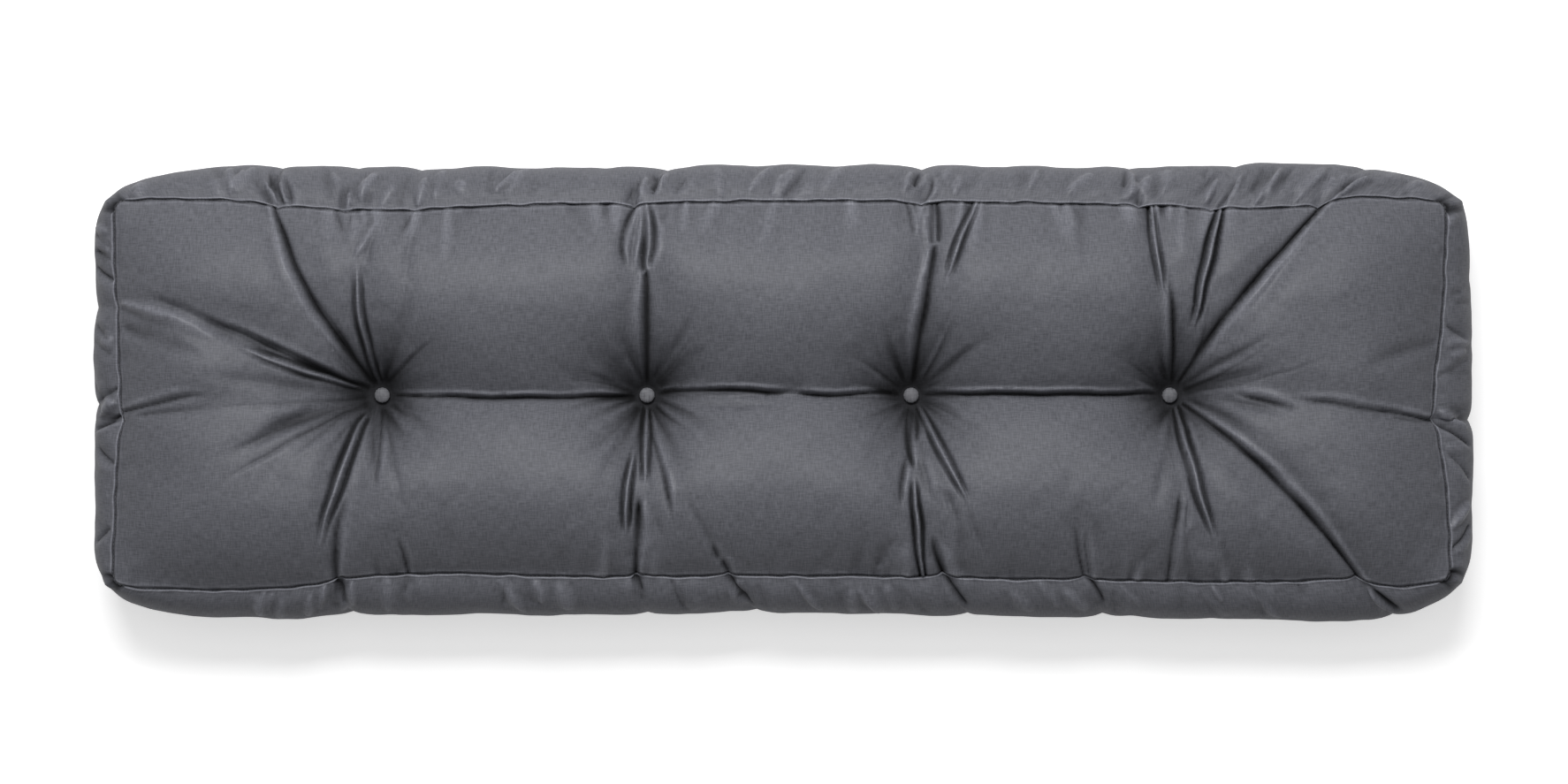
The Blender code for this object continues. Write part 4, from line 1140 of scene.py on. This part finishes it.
def settled_moves():
    """How far each point of the coarse copy moves, in millimetres."""
    obj, points = coarse_object()
    modifier = obj.modifiers.new("settle", "CLOTH")
    cloth = modifier.settings
    cloth.mass = CLOTH_WEIGHT
    cloth.tension_stiffness = cloth.compression_stiffness = STRETCH
    cloth.bending_stiffness = BENDING
    cloth.use_pressure = True
    cloth.uniform_pressure_force = PRESSURE
    cloth.shrink_min = -SPARE_CLOTH
    cloth.vertex_group_mass = "held"
    cloth.effector_weights.gravity = 0.0
    modifier.collision_settings.use_collision = False
    scene = bpy.context.scene
    for step in range(1, SETTLE_FRAMES + 1):
        scene.frame_set(step)
    settled = obj.evaluated_get(bpy.context.evaluated_depsgraph_get()).data
    places = np.zeros(len(settled.vertices) * 3)
    settled.vertices.foreach_get("co", places)
    scene.frame_set(1)
    bpy.data.objects.remove(obj)
    return places.reshape(-1, 3) / MM - points


def spline_weights(fine, coarse):
    """A matrix that lays values at coarse places over fine ones with a cubic spline."""
    before = np.clip(np.searchsorted(coarse, fine) - 1, 0, len(coarse) - 2)
    t = np.clip((fine - coarse[before]) / (coarse[before + 1] - coarse[before]), 0, 1)
    parts = ((1 - t) ** 3, 3 * t**3 - 6 * t**2 + 4, -3 * t**3 + 3 * t**2 + 3 * t + 1, t**3)
    weights = np.zeros((len(fine), len(coarse)))
    for offset, part in enumerate(parts, start=-1):
        place = np.clip(before + offset, 0, len(coarse) - 1)
        np.add.at(weights, (np.arange(len(fine)), place), part / 6)
    return weights


def laid_over(moves, over_first, over_second, calm):
    """The coarse moves spread over the fine surface, and calmed beside the seams."""
    return np.einsum("ij,jkc,lk->ilc", over_first, moves, over_second, optimize=True) * calm[..., None]


moves = settled_moves()
length = np.linalg.norm(moves, axis=1, keepdims=True)
print("moves before the cap, mm: mean", length.mean().round(2), "most", length.max().round(2))
moves *= MOST_MOVE * np.tanh(length / MOST_MOVE) / np.maximum(length, LEAST_MOVE)
top_moves = moves[: held_top.size].reshape(coarse_top.shape)
band_moves = BAND_SHARE * moves[held_top.size :].reshape(coarse_band.shape)
over_v, over_u = spline_weights(v_line, v_line[rows]), spline_weights(u_line, u_line[columns])
calm = smooth(np.minimum(*inside_seam(top_x, top_y)) / SETTLE_CELL)
top += laid_over(top_moves, over_v, over_u, calm)
over_down = spline_weights(BAND_DOWN, BAND_DOWN[down_picks])
over_around = spline_weights(around[0], around[0][on_edge])
calm = smooth(band_arc / SETTLE_CELL) * smooth(band_left / SETTLE_CELL)
band += laid_over(band_moves, over_down, over_around, calm)
print("settled: the panel moved", np.abs(top_moves).mean().round(2), "mm on average")

# %% [markdown]
# ## The bottom panel
#
# A few more rings carry the surface from the lower seam in to the flat underside, which lies on
# the bench. Nothing of it shows in the photograph, so it stays plain.

# %% Bottom panel
UNDERSIDE_RINGS = (0.8, 1.8, 3.2, 5.5, 9.0, 14.0, 20.0, 27.0, UNDERSIDE_REACH)
INSET_X, INSET_Y = 540.0, 130.0


def underside_ring(inset):
    """A ring of the bottom panel, this far in from the lower seam."""
    share = inset / UNDERSIDE_REACH
    seam_x, seam_y = panel_plan(edge_u, edge_v)
    x = seam_x + (np.clip(seam_x, -INSET_X, INSET_X) - seam_x) * share
    y = seam_y + (np.clip(seam_y, -INSET_Y, INSET_Y) - seam_y) * share
    height = LOWER_SEAM_HEIGHT * (1 - share) ** 2 + SEAM_DIP * np.exp(-inset / SEAM_DIP_REACH)
    return np.column_stack([x, y, np.full_like(x, height)])


underside = np.stack([underside_ring(inset) for inset in UNDERSIDE_RINGS])
underside[-1, :, 2] = 0.0
print("bottom panel:", len(underside), "rings")

# %% [markdown]
# ## One closed cover
#
# The grid and the rings become one closed mesh. It is far finer than it needs to be on the smooth
# pillows, so the Decimate modifier collapses the flatter faces and leaves the folds alone. Every
# point carries its place on the flat cloth, from which the weave's UV map is made afterwards.

# %% Closed cover
FACES_KEPT = 0.24
LARGEST_FACE = 4


def cover_mesh():
    numbers = point_numbers(top)
    rings = np.concatenate([band[1:], underside])
    ring_numbers = point_numbers(rings, numbers.size)
    faces = sheet_faces(numbers, numbers[edge[:, 0], edge[:, 1]], ring_numbers)
    faces.append(ring_numbers[-1][::-1].tolist())
    points = np.concatenate([top.reshape(-1, 3), rings.reshape(-1, 3)])
    mesh = bpy.data.meshes.new("cushion_cover")
    mesh.from_pydata((points * MM).tolist(), [], faces)
    return mesh


def cloth_places():
    """Where each point lies on the flat cloth: the panel as it is, the band unrolled outwards."""
    outward_x = np.where(edge_side == "right", 1.0, np.where(edge_side == "left", -1.0, 0.0))
    outward_y = np.where(edge_side == "back", 1.0, np.where(edge_side == "front", -1.0, 0.0))
    outward = np.column_stack([outward_x, outward_y])
    seam = top[edge[:, 0], edge[:, 1], :2]
    unrolled = seam[None] + outward[None] * band_arc[1:, :, None]
    under = underside[..., :2] + outward[None] * band_arc[-1][None, :, None]
    return np.concatenate([part.reshape(-1, 2) for part in (top[..., :2], unrolled, under)])


def plain_mesh(obj):
    """The object's mesh with its modifiers applied, and the modifiers removed."""
    bpy.context.view_layer.update()
    mesh = bpy.data.meshes.new_from_object(obj.evaluated_get(bpy.context.evaluated_depsgraph_get()))
    obj.modifiers.clear()
    obj.data = mesh
    return mesh


def face_outwards(mesh, largest_face):
    """Cuts up faces with more corners than this, turns all outwards and shades them smoothly."""
    work = bmesh.new()
    work.from_mesh(mesh)
    bmesh.ops.triangulate(work, faces=[f for f in work.faces if len(f.verts) > largest_face])
    bmesh.ops.recalc_face_normals(work, faces=work.faces)
    work.to_mesh(mesh)
    work.free()
    mesh.shade_smooth()


def closed_cover():
    mesh = cover_mesh()
    flat = np.zeros((len(mesh.vertices), 3))
    flat[:, :2] = cloth_places() * MM
    mesh.attributes.new("flat_cloth", "FLOAT_VECTOR", "POINT").data.foreach_set("vector", flat.ravel())
    # The painted shade and painted highlights of panel and band ride on the mesh as a point attribute.
    shade = np.concatenate([top_shade.ravel(), band_shade[1:].ravel(), np.zeros(underside[..., 0].size)])
    mesh.attributes.new("shade", "FLOAT", "POINT").data.foreach_set("value", shade)
    obj = add_object("cushion_cover", mesh)
    obj.modifiers.new("thin", "DECIMATE").ratio = FACES_KEPT
    face_outwards(plain_mesh(obj), LARGEST_FACE)
    return obj


def cloth_uv(obj):
    """Turns each point's place on the flat cloth into a UV map, in metres."""
    mesh = obj.data
    places = np.zeros(len(mesh.vertices) * 3)
    mesh.attributes["flat_cloth"].data.foreach_get("vector", places)
    loops = np.zeros(len(mesh.loops), dtype=np.int32)
    mesh.loops.foreach_get("vertex_index", loops)
    layer = mesh.uv_layers.new(name="cloth")
    layer.data.foreach_set("uv", places.reshape(-1, 3)[loops][:, :2].ravel())
    mesh.attributes.remove(mesh.attributes["flat_cloth"])


cover = closed_cover()
cloth_uv(cover)
cover.data.calc_loop_triangles()
print("cover:", len(cover.data.loop_triangles), "triangles")

# %% [markdown]
# ## The buttons
#
# A covered button is a small domed mould with a circle of the same cloth drawn round it. The cloth
# is gathered at the rim, so faint pleats run in from the edge. One function makes all four
# buttons, each turned a little so that no two look alike.

# %% Buttons
BUTTON_RADIUS = 6.6
BUTTON_EDGE = 2.4
BUTTON_DOME = 3.2
BUTTON_GAP = 0.4
BUTTON_BACK = 1.2
BUTTON_SIDES = 72
DOME_STEPS = 16
SIDE_STEPS = 5
PLEATS = 14
PLEAT_DEPTH = 0.09
PLEAT_TURN = 0.7
PLEAT_TURN_WAVES = 3


def quarter_turn(steps):
    return np.linspace(0, math.pi / 2, steps + 1)[1:]


def button_outline():
    """Radius, height and strength of the pleats, from the top of the dome to its flat back."""
    outline = []
    for a in quarter_turn(DOME_STEPS):
        outline.append((BUTTON_RADIUS * math.sin(a), BUTTON_EDGE + BUTTON_DOME * math.cos(a)))
    for a in quarter_turn(SIDE_STEPS):
        inwards = BUTTON_BACK * (1 - math.cos(a))
        outline.append((BUTTON_RADIUS - inwards, BUTTON_EDGE * (1 - math.sin(a))))
    return [(r, z, smooth(r / BUTTON_RADIUS) ** 2) for r, z in outline]


def button_points(turn):
    """The points of a button round its own foot, turned by an angle."""
    angles = np.linspace(0, TURN, BUTTON_SIDES, endpoint=False)
    shifted = angles * PLEATS + PLEAT_TURN * np.sin(PLEAT_TURN_WAVES * angles + turn)
    points = [np.array([[0.0, 0.0, BUTTON_EDGE + BUTTON_DOME]])]
    for radius, height, strength in button_outline():
        pleat = PLEAT_DEPTH * strength * np.sin(shifted)
        ring = radius + pleat * radius / BUTTON_RADIUS
        x, y = ring * np.cos(angles + turn), ring * np.sin(angles + turn)
        points.append(np.column_stack([x, y, np.full_like(ring, height)]))
    return np.concatenate(points)


def make_button(number, tuft_x):
    points = button_points(float(number)) + np.array([tuft_x, TUFT_Y, TUFT_FLOOR + BUTTON_GAP])
    rings = np.arange(1, len(points)).reshape(-1, BUTTON_SIDES)
    faces = [(0, int(a), int(b)) for a, b in zip(rings[0], np.roll(rings[0], -1))]
    for inner, outer in zip(rings, rings[1:]):
        faces += ring_faces(inner, outer)[:, ::-1].tolist()
    faces.append(rings[-1][::-1].tolist())
    mesh = bpy.data.meshes.new(f"covered_button_{number}")
    mesh.from_pydata((points * MM).tolist(), [], faces)
    face_outwards(mesh, BUTTON_SIDES)
    layer = mesh.uv_layers.new(name="cloth")
    for loop in mesh.loops:
        layer.data[loop.index].uv = mesh.vertices[loop.vertex_index].co.xy
    return add_object(f"covered_button_{number}", mesh)


buttons = [make_button(number, tuft_x) for number, tuft_x in enumerate(TUFT_X, start=1)]
print("buttons:", len(buttons), "with", len(buttons[0].data.polygons), "faces each")

# %% [markdown]
# ## The stitches
#
# Both seams are machine sewn. The stitches lie deep in the groove between the two cloths, so
# little of them shows, but a close view of a seam without thread looks cast, not sewn. They
# repeat along a path, which is work for Geometry Nodes: the seam line becomes a curve, is cut
# into even steps, and carries one small stitch at each. Two short helpers make the nodes here and
# in the materials.

# %% Stitches with Geometry Nodes
STITCH_STEP = 0.0034
STITCH_LENGTH = 0.0026
STITCH_THICKNESS = 0.00042
STITCH_TILT = 0.12
STITCH_SIDES, STITCH_RINGS = 6, 4
STITCH_RAISE = 0.15
UPPER_SEED, LOWER_SEED = 3, 4
STITCH_SOCKETS = {
    "Geometry": "NodeSocketGeometry",
    "Step": "NodeSocketFloat",
    "Length": "NodeSocketFloat",
    "Thickness": "NodeSocketFloat",
    "Seed": "NodeSocketInt",
    "Material": "NodeSocketMaterial",
}


def fill(node, inputs):
    """Fills the node's inputs from other sockets or with values."""
    for socket, source in inputs:
        if isinstance(source, bpy.types.NodeSocket):
            node.id_data.links.new(source, node.inputs[socket])
        else:
            node.inputs[socket].default_value = source


def wired(tree, kind, inputs=(), **settings):
    """A new node with its settings made and its inputs filled."""
    node = tree.nodes.new(kind)
    for name, value in settings.items():
        setattr(node, name, value)
    fill(node, inputs)
    return node


def stitch_tree():
    tree = bpy.data.node_groups.new("stitches_along_seam", "GeometryNodeTree")
    tree.is_modifier = True
    for name, kind in STITCH_SOCKETS.items():
        tree.interface.new_socket(name, in_out="INPUT", socket_type=kind)
    tree.interface.new_socket("Geometry", in_out="OUTPUT", socket_type="NodeSocketGeometry")
    given = tree.nodes.new("NodeGroupInput").outputs
    line = wired(tree, "GeometryNodeMeshToCurve", [("Mesh", given["Geometry"])]).outputs["Curve"]
    inputs = [("Curve", line), ("Length", given["Step"])]
    even = wired(tree, "GeometryNodeResampleCurve", inputs, mode="LENGTH").outputs["Curve"]
    inputs = [("Segments", STITCH_SIDES), ("Rings", STITCH_RINGS), ("Radius", 0.5)]
    ball = wired(tree, "GeometryNodeMeshUVSphere", inputs).outputs["Mesh"]
    inputs = [("Vector", wired(tree, "GeometryNodeInputTangent").outputs["Tangent"])]
    align = wired(tree, "FunctionNodeAlignEulerToVector", inputs, axis="Z").outputs["Rotation"]
    inputs = [("Min", (-STITCH_TILT,) * 3), ("Max", (STITCH_TILT,) * 3), ("Seed", given["Seed"])]
    tilt = wired(tree, "FunctionNodeRandomValue", inputs, data_type="FLOAT_VECTOR").outputs["Value"]
    inputs = [("Rotation", align), ("Rotate By", tilt)]
    turned = wired(tree, "FunctionNodeRotateEuler", inputs).outputs["Rotation"]
    inputs = [("X", given["Thickness"]), ("Y", given["Thickness"]), ("Z", given["Length"])]
    size = wired(tree, "ShaderNodeCombineXYZ", inputs).outputs["Vector"]
    inputs = [("Points", even), ("Instance", ball), ("Rotation", turned), ("Scale", size)]
    placed = wired(tree, "GeometryNodeInstanceOnPoints", inputs).outputs["Instances"]
    real = wired(tree, "GeometryNodeRealizeInstances", [("Geometry", placed)]).outputs["Geometry"]
    inputs = [("Geometry", real), ("Material", given["Material"])]
    painted = wired(tree, "GeometryNodeSetMaterial", inputs).outputs["Geometry"]
    wired(tree, "NodeGroupOutput", [("Geometry", painted)])
    return tree


def make_stitches(name, ring, seed, tree, material):
    """Stitches along a closed ring of points, given in millimetres."""
    mesh = bpy.data.meshes.new(name)
    count = len(ring)
    mesh.from_pydata((ring * MM).tolist(), [(i, (i + 1) % count) for i in range(count)], [])
    obj = add_object(name, mesh)
    modifier = obj.modifiers.new("stitches", "NODES")
    modifier.node_group = tree
    values = {"Step": STITCH_STEP, "Length": STITCH_LENGTH, "Thickness": STITCH_THICKNESS}
    values.update(Seed=seed, Material=material)
    for item in tree.interface.items_tree:
        if item.name in values:
            modifier[item.identifier] = values[item.name]
    plain_mesh(obj).shade_smooth()
    return obj


upper_line = band[0] + np.array([0.0, 0.0, STITCH_RAISE])
lower_line = band[-1] + np.array([0.0, 0.0, -STITCH_RAISE])
print("seam lines:", len(upper_line), "points each")

# %% [markdown]
# ## The cloth
#
# The cover is a plain weave of grey cotton. From a distance its threads blur into fine streaks
# along both directions, because a yarn is thicker in some places than in others. One node group
# makes the weave and is shared by the cover and the buttons. It gives a tone, a height and a slow
# mottle, and each material decides what to do with them.

# %% Cloth node group
THREAD_PITCH = 0.0007
STREAK_LONG = 120.0
STREAK_FINE = 1000.0
STREAK_DETAIL = 2.0
STREAK_RELIEF = 1.6
THREAD_RELIEF = 0.35
MOTTLE = 22.0
MOTTLE_DETAIL = 3.0
HALF = 0.5


def math_node(tree, operation, *values):
    return wired(tree, "ShaderNodeMath", enumerate(values), operation=operation).outputs[0]


def scaled_by(tree, vector, factor):
    inputs = [(0, vector), (1, factor)]
    return wired(tree, "ShaderNodeVectorMath", inputs, operation="MULTIPLY").outputs[0]


def noise(tree, vector, scale, detail):
    inputs = [("Vector", vector), ("Scale", scale), ("Detail", detail)]
    return wired(tree, "ShaderNodeTexNoise", inputs).outputs["Fac"]


def streaks(tree, vector, stretch):
    """Noise drawn out into streaks by scaling the cloth's coordinates unevenly."""
    return noise(tree, scaled_by(tree, vector, stretch), 1.0, STREAK_DETAIL)


def weave_group():
    group = bpy.data.node_groups.new("plain_weave", "ShaderNodeTree")
    group.interface.new_socket("Cloth", in_out="INPUT", socket_type="NodeSocketVector")
    for name in ("Tone", "Height", "Mottle"):
        group.interface.new_socket(name, in_out="OUTPUT", socket_type="NodeSocketFloat")
    cloth = group.nodes.new("NodeGroupInput").outputs["Cloth"]
    weft = streaks(group, cloth, (STREAK_LONG, STREAK_FINE, 1.0))
    warp = streaks(group, cloth, (STREAK_FINE, STREAK_LONG, 1.0))
    tone = math_node(group, "MULTIPLY", math_node(group, "ADD", weft, warp), HALF)
    turns = math.pi / THREAD_PITCH
    turned = scaled_by(group, cloth, (turns, turns, 1.0))
    place = wired(group, "ShaderNodeSeparateXYZ", [(0, turned)]).outputs
    across, along = (math_node(group, "SINE", place[axis]) for axis in "XY")
    checks = math_node(group, "MULTIPLY", across, along)
    threads = math_node(group, "MULTIPLY_ADD", checks, HALF, HALF)
    threads = math_node(group, "MULTIPLY", threads, THREAD_RELIEF)
    height = math_node(group, "MULTIPLY_ADD", tone, STREAK_RELIEF, threads)
    mottle = noise(group, cloth, MOTTLE, MOTTLE_DETAIL)
    wired(group, "NodeGroupOutput", [("Tone", tone), ("Height", height), ("Mottle", mottle)])
    return group


weave = weave_group()
print("node group:", weave.name, "with", len(weave.nodes), "nodes")

# %% Cloth materials
DARK_THREAD = (0.087, 0.089, 0.102, 1.0)
LIGHT_THREAD = (0.150, 0.153, 0.174, 1.0)
BUTTON_DARK = (0.100, 0.101, 0.111, 1.0)
BUTTON_LIGHT = (0.190, 0.192, 0.208, 1.0)
TONE_RANGE = (0.36, 0.64)
MOTTLE_RANGE = (0.965, 1.035)
ROUGH_RANGE = (0.46, 0.60)
SHEEN_WEIGHT = 0.03
SHEEN_ROUGHNESS = 0.45
SPECULAR = 0.22
MATT_IN_FOLD = 0.4
BUMP_STRENGTH = 0.28
BUMP_DISTANCE = 0.0003


def new_material(name):
    """A new material and its principled shader."""
    material = bpy.data.materials.new(name)
    material.use_nodes = True
    return material, material.node_tree.nodes["Principled BSDF"]


def mapped(tree, value, end, span):
    """The value mapped to a span from 0 to 1, or from a span to 0 to 1."""
    inputs = [("Value", value), (f"{end} Min", span[0]), (f"{end} Max", span[1])]
    return wired(tree, "ShaderNodeMapRange", inputs).outputs["Result"]


def mixed(tree, factor, first, second):
    """A colour between two others."""
    node = wired(tree, "ShaderNodeMix", [("Factor", factor)], data_type="RGBA")
    colours = [socket for socket in node.inputs if socket.type == "RGBA"]
    colours[0].default_value, colours[1].default_value = first, second
    return next(socket for socket in node.outputs if socket.type == "RGBA")


def cloth_material(name, dark, light, shaded):
    """Woven grey cloth with streaks of lighter and darker yarn and a soft sheen."""
    material, shader = new_material(name)
    tree = material.node_tree
    place = wired(tree, "ShaderNodeUVMap", uv_map="cloth").outputs["UV"]
    cloth = wired(tree, "ShaderNodeGroup", node_tree=weave)
    fill(cloth, [("Cloth", place)])
    yarn = mixed(tree, mapped(tree, cloth.outputs["Tone"], "From", TONE_RANGE), dark, light)
    colour = scaled_by(tree, yarn, mapped(tree, cloth.outputs["Mottle"], "To", MOTTLE_RANGE))
    rough = mapped(tree, cloth.outputs["Tone"], "To", ROUGH_RANGE)
    if shaded:
        # The colour takes the painted shade stored on the mesh, and the painted highlights where that
        # shade is negative.
        shade = wired(tree, "ShaderNodeAttribute", attribute_name="shade").outputs["Fac"]
        colour = scaled_by(tree, colour, math_node(tree, "SUBTRACT", 1.0, shade))
        rough = math_node(tree, "ADD", rough, math_node(tree, "MULTIPLY", shade, MATT_IN_FOLD))
    bumps = [
        ("Height", cloth.outputs["Height"]),
        ("Strength", BUMP_STRENGTH),
        ("Distance", BUMP_DISTANCE),
    ]
    looks = [
        ("Base Color", colour),
        ("Roughness", rough),
        ("Normal", wired(tree, "ShaderNodeBump", bumps).outputs["Normal"]),
        ("Metallic", 0.0),
        ("Specular IOR Level", SPECULAR),
        ("Sheen Weight", SHEEN_WEIGHT),
        ("Sheen Roughness", SHEEN_ROUGHNESS),
    ]
    fill(shader, looks)
    return material


cover.data.materials.clear()
cover.data.materials.append(cloth_material("grey_plain_weave", DARK_THREAD, LIGHT_THREAD, True))
button_cloth = cloth_material("grey_button_weave", BUTTON_DARK, BUTTON_LIGHT, False)
for button in buttons:
    button.data.materials.append(button_cloth)
print("materials:", [material.name for material in (cover.data.materials[0], button_cloth)])

# %% Thread and stitches
thread, thread_shader = new_material("sewing_thread")
thread_looks = [
    ("Base Color", LIGHT_THREAD),
    ("Roughness", ROUGH_RANGE[0]),
    ("Sheen Weight", SHEEN_WEIGHT),
]
fill(thread_shader, thread_looks)
tree = stitch_tree()
stitches = [
    make_stitches("upper_seam_stitches", upper_line, UPPER_SEED, tree, thread),
    make_stitches("lower_seam_stitches", lower_line, LOWER_SEED, tree, thread),
]
print("stitch faces:", [len(piece.data.polygons) for piece in stitches])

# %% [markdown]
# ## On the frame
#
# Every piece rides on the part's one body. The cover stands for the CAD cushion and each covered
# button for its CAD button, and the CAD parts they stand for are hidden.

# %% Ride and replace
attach(cover, "root")
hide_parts("cushion")
for number, button in enumerate(buttons, start=1):
    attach(button, "root")
    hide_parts(f"button_{number}")
for piece in stitches:
    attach(piece, "root")
print("pieces:", 1 + len(buttons) + len(stitches))

# %% [markdown]
# ## Floor, light and camera
#
# The photograph was taken from straight above with a long lens, on white. A large soft light
# stands beyond the back of the cushion, so slopes that face the front are in shade. A white room
# fills the shadows.

# %% Floor
FLOOR_SIZE = 8.0
FLOOR_DROP = 0.0005
FLOOR_COLOUR = (0.96, 0.96, 0.96, 1.0)
FLOOR_GLOW = 0.49
WHITE = (1.0, 1.0, 1.0, 1.0)


def make_floor():
    """A matt white floor that the camera sees a little brighter than the light makes it."""
    material, shader = new_material("white_floor")
    ray = wired(material.node_tree, "ShaderNodeLightPath").outputs["Is Camera Ray"]
    looks = [
        ("Base Color", FLOOR_COLOUR),
        ("Roughness", 1.0),
        ("Specular IOR Level", 0.0),
        ("Emission Color", WHITE),
        ("Emission Strength", math_node(material.node_tree, "MULTIPLY", ray, FLOOR_GLOW)),
    ]
    fill(shader, looks)
    half = FLOOR_SIZE / 2
    corners = [(-half, -half), (half, -half), (half, half), (-half, half)]
    mesh = bpy.data.meshes.new("floor")
    mesh.from_pydata([(x, y, -FLOOR_DROP) for x, y in corners], [], [(0, 1, 2, 3)])
    mesh.materials.append(material)
    return add_object("floor", mesh)


floor = make_floor()
print("floor:", FLOOR_SIZE, "m across")

# %% Light
LIGHTS = (
    # name, place, size across and deep, watts
    ("key_from_the_back", (-0.22, 1.5, 2.3), (1.5, 0.8), 57.5),
    ("soft_overhead", (0.0, 0.2, 2.9), (2.2, 1.6), 11.5),
)
ROOM_STRENGTH = 0.2


def area_light(name, place, size, watts):
    """A soft rectangular light that points at the middle of the floor."""
    light = bpy.data.lights.new(name, "AREA")
    light.shape = "RECTANGLE"
    light.size, light.size_y = size
    light.energy = watts
    obj = add_object(name, light)
    obj.location = place
    obj.rotation_euler = (-Vector(place)).to_track_quat("-Z", "Y").to_euler()


for row in LIGHTS:
    area_light(*row)
world = bpy.data.worlds.new("white_room")
world.use_nodes = True
fill(world.node_tree.nodes["Background"], [("Color", WHITE), ("Strength", ROOM_STRENGTH)])
bpy.context.scene.world = world
bpy.context.scene.view_settings.view_transform = "Standard"
print("lights:", len(LIGHTS))

# %% Camera
IMAGE_WIDTH = 1774
CAMERA_PLACE = (0.0, 0.0, EYE_HEIGHT * MM)
FOCAL_PIXELS = 3842.0
SENSOR_WIDTH = 36.0

camera_data = bpy.data.cameras.new("camera")
camera_data.sensor_width = SENSOR_WIDTH
camera_data.lens = SENSOR_WIDTH * FOCAL_PIXELS / IMAGE_WIDTH
camera = add_object("camera", camera_data)
camera.location = CAMERA_PLACE
bpy.context.scene.camera = camera
print("lens:", round(camera_data.lens, 2), "mm")
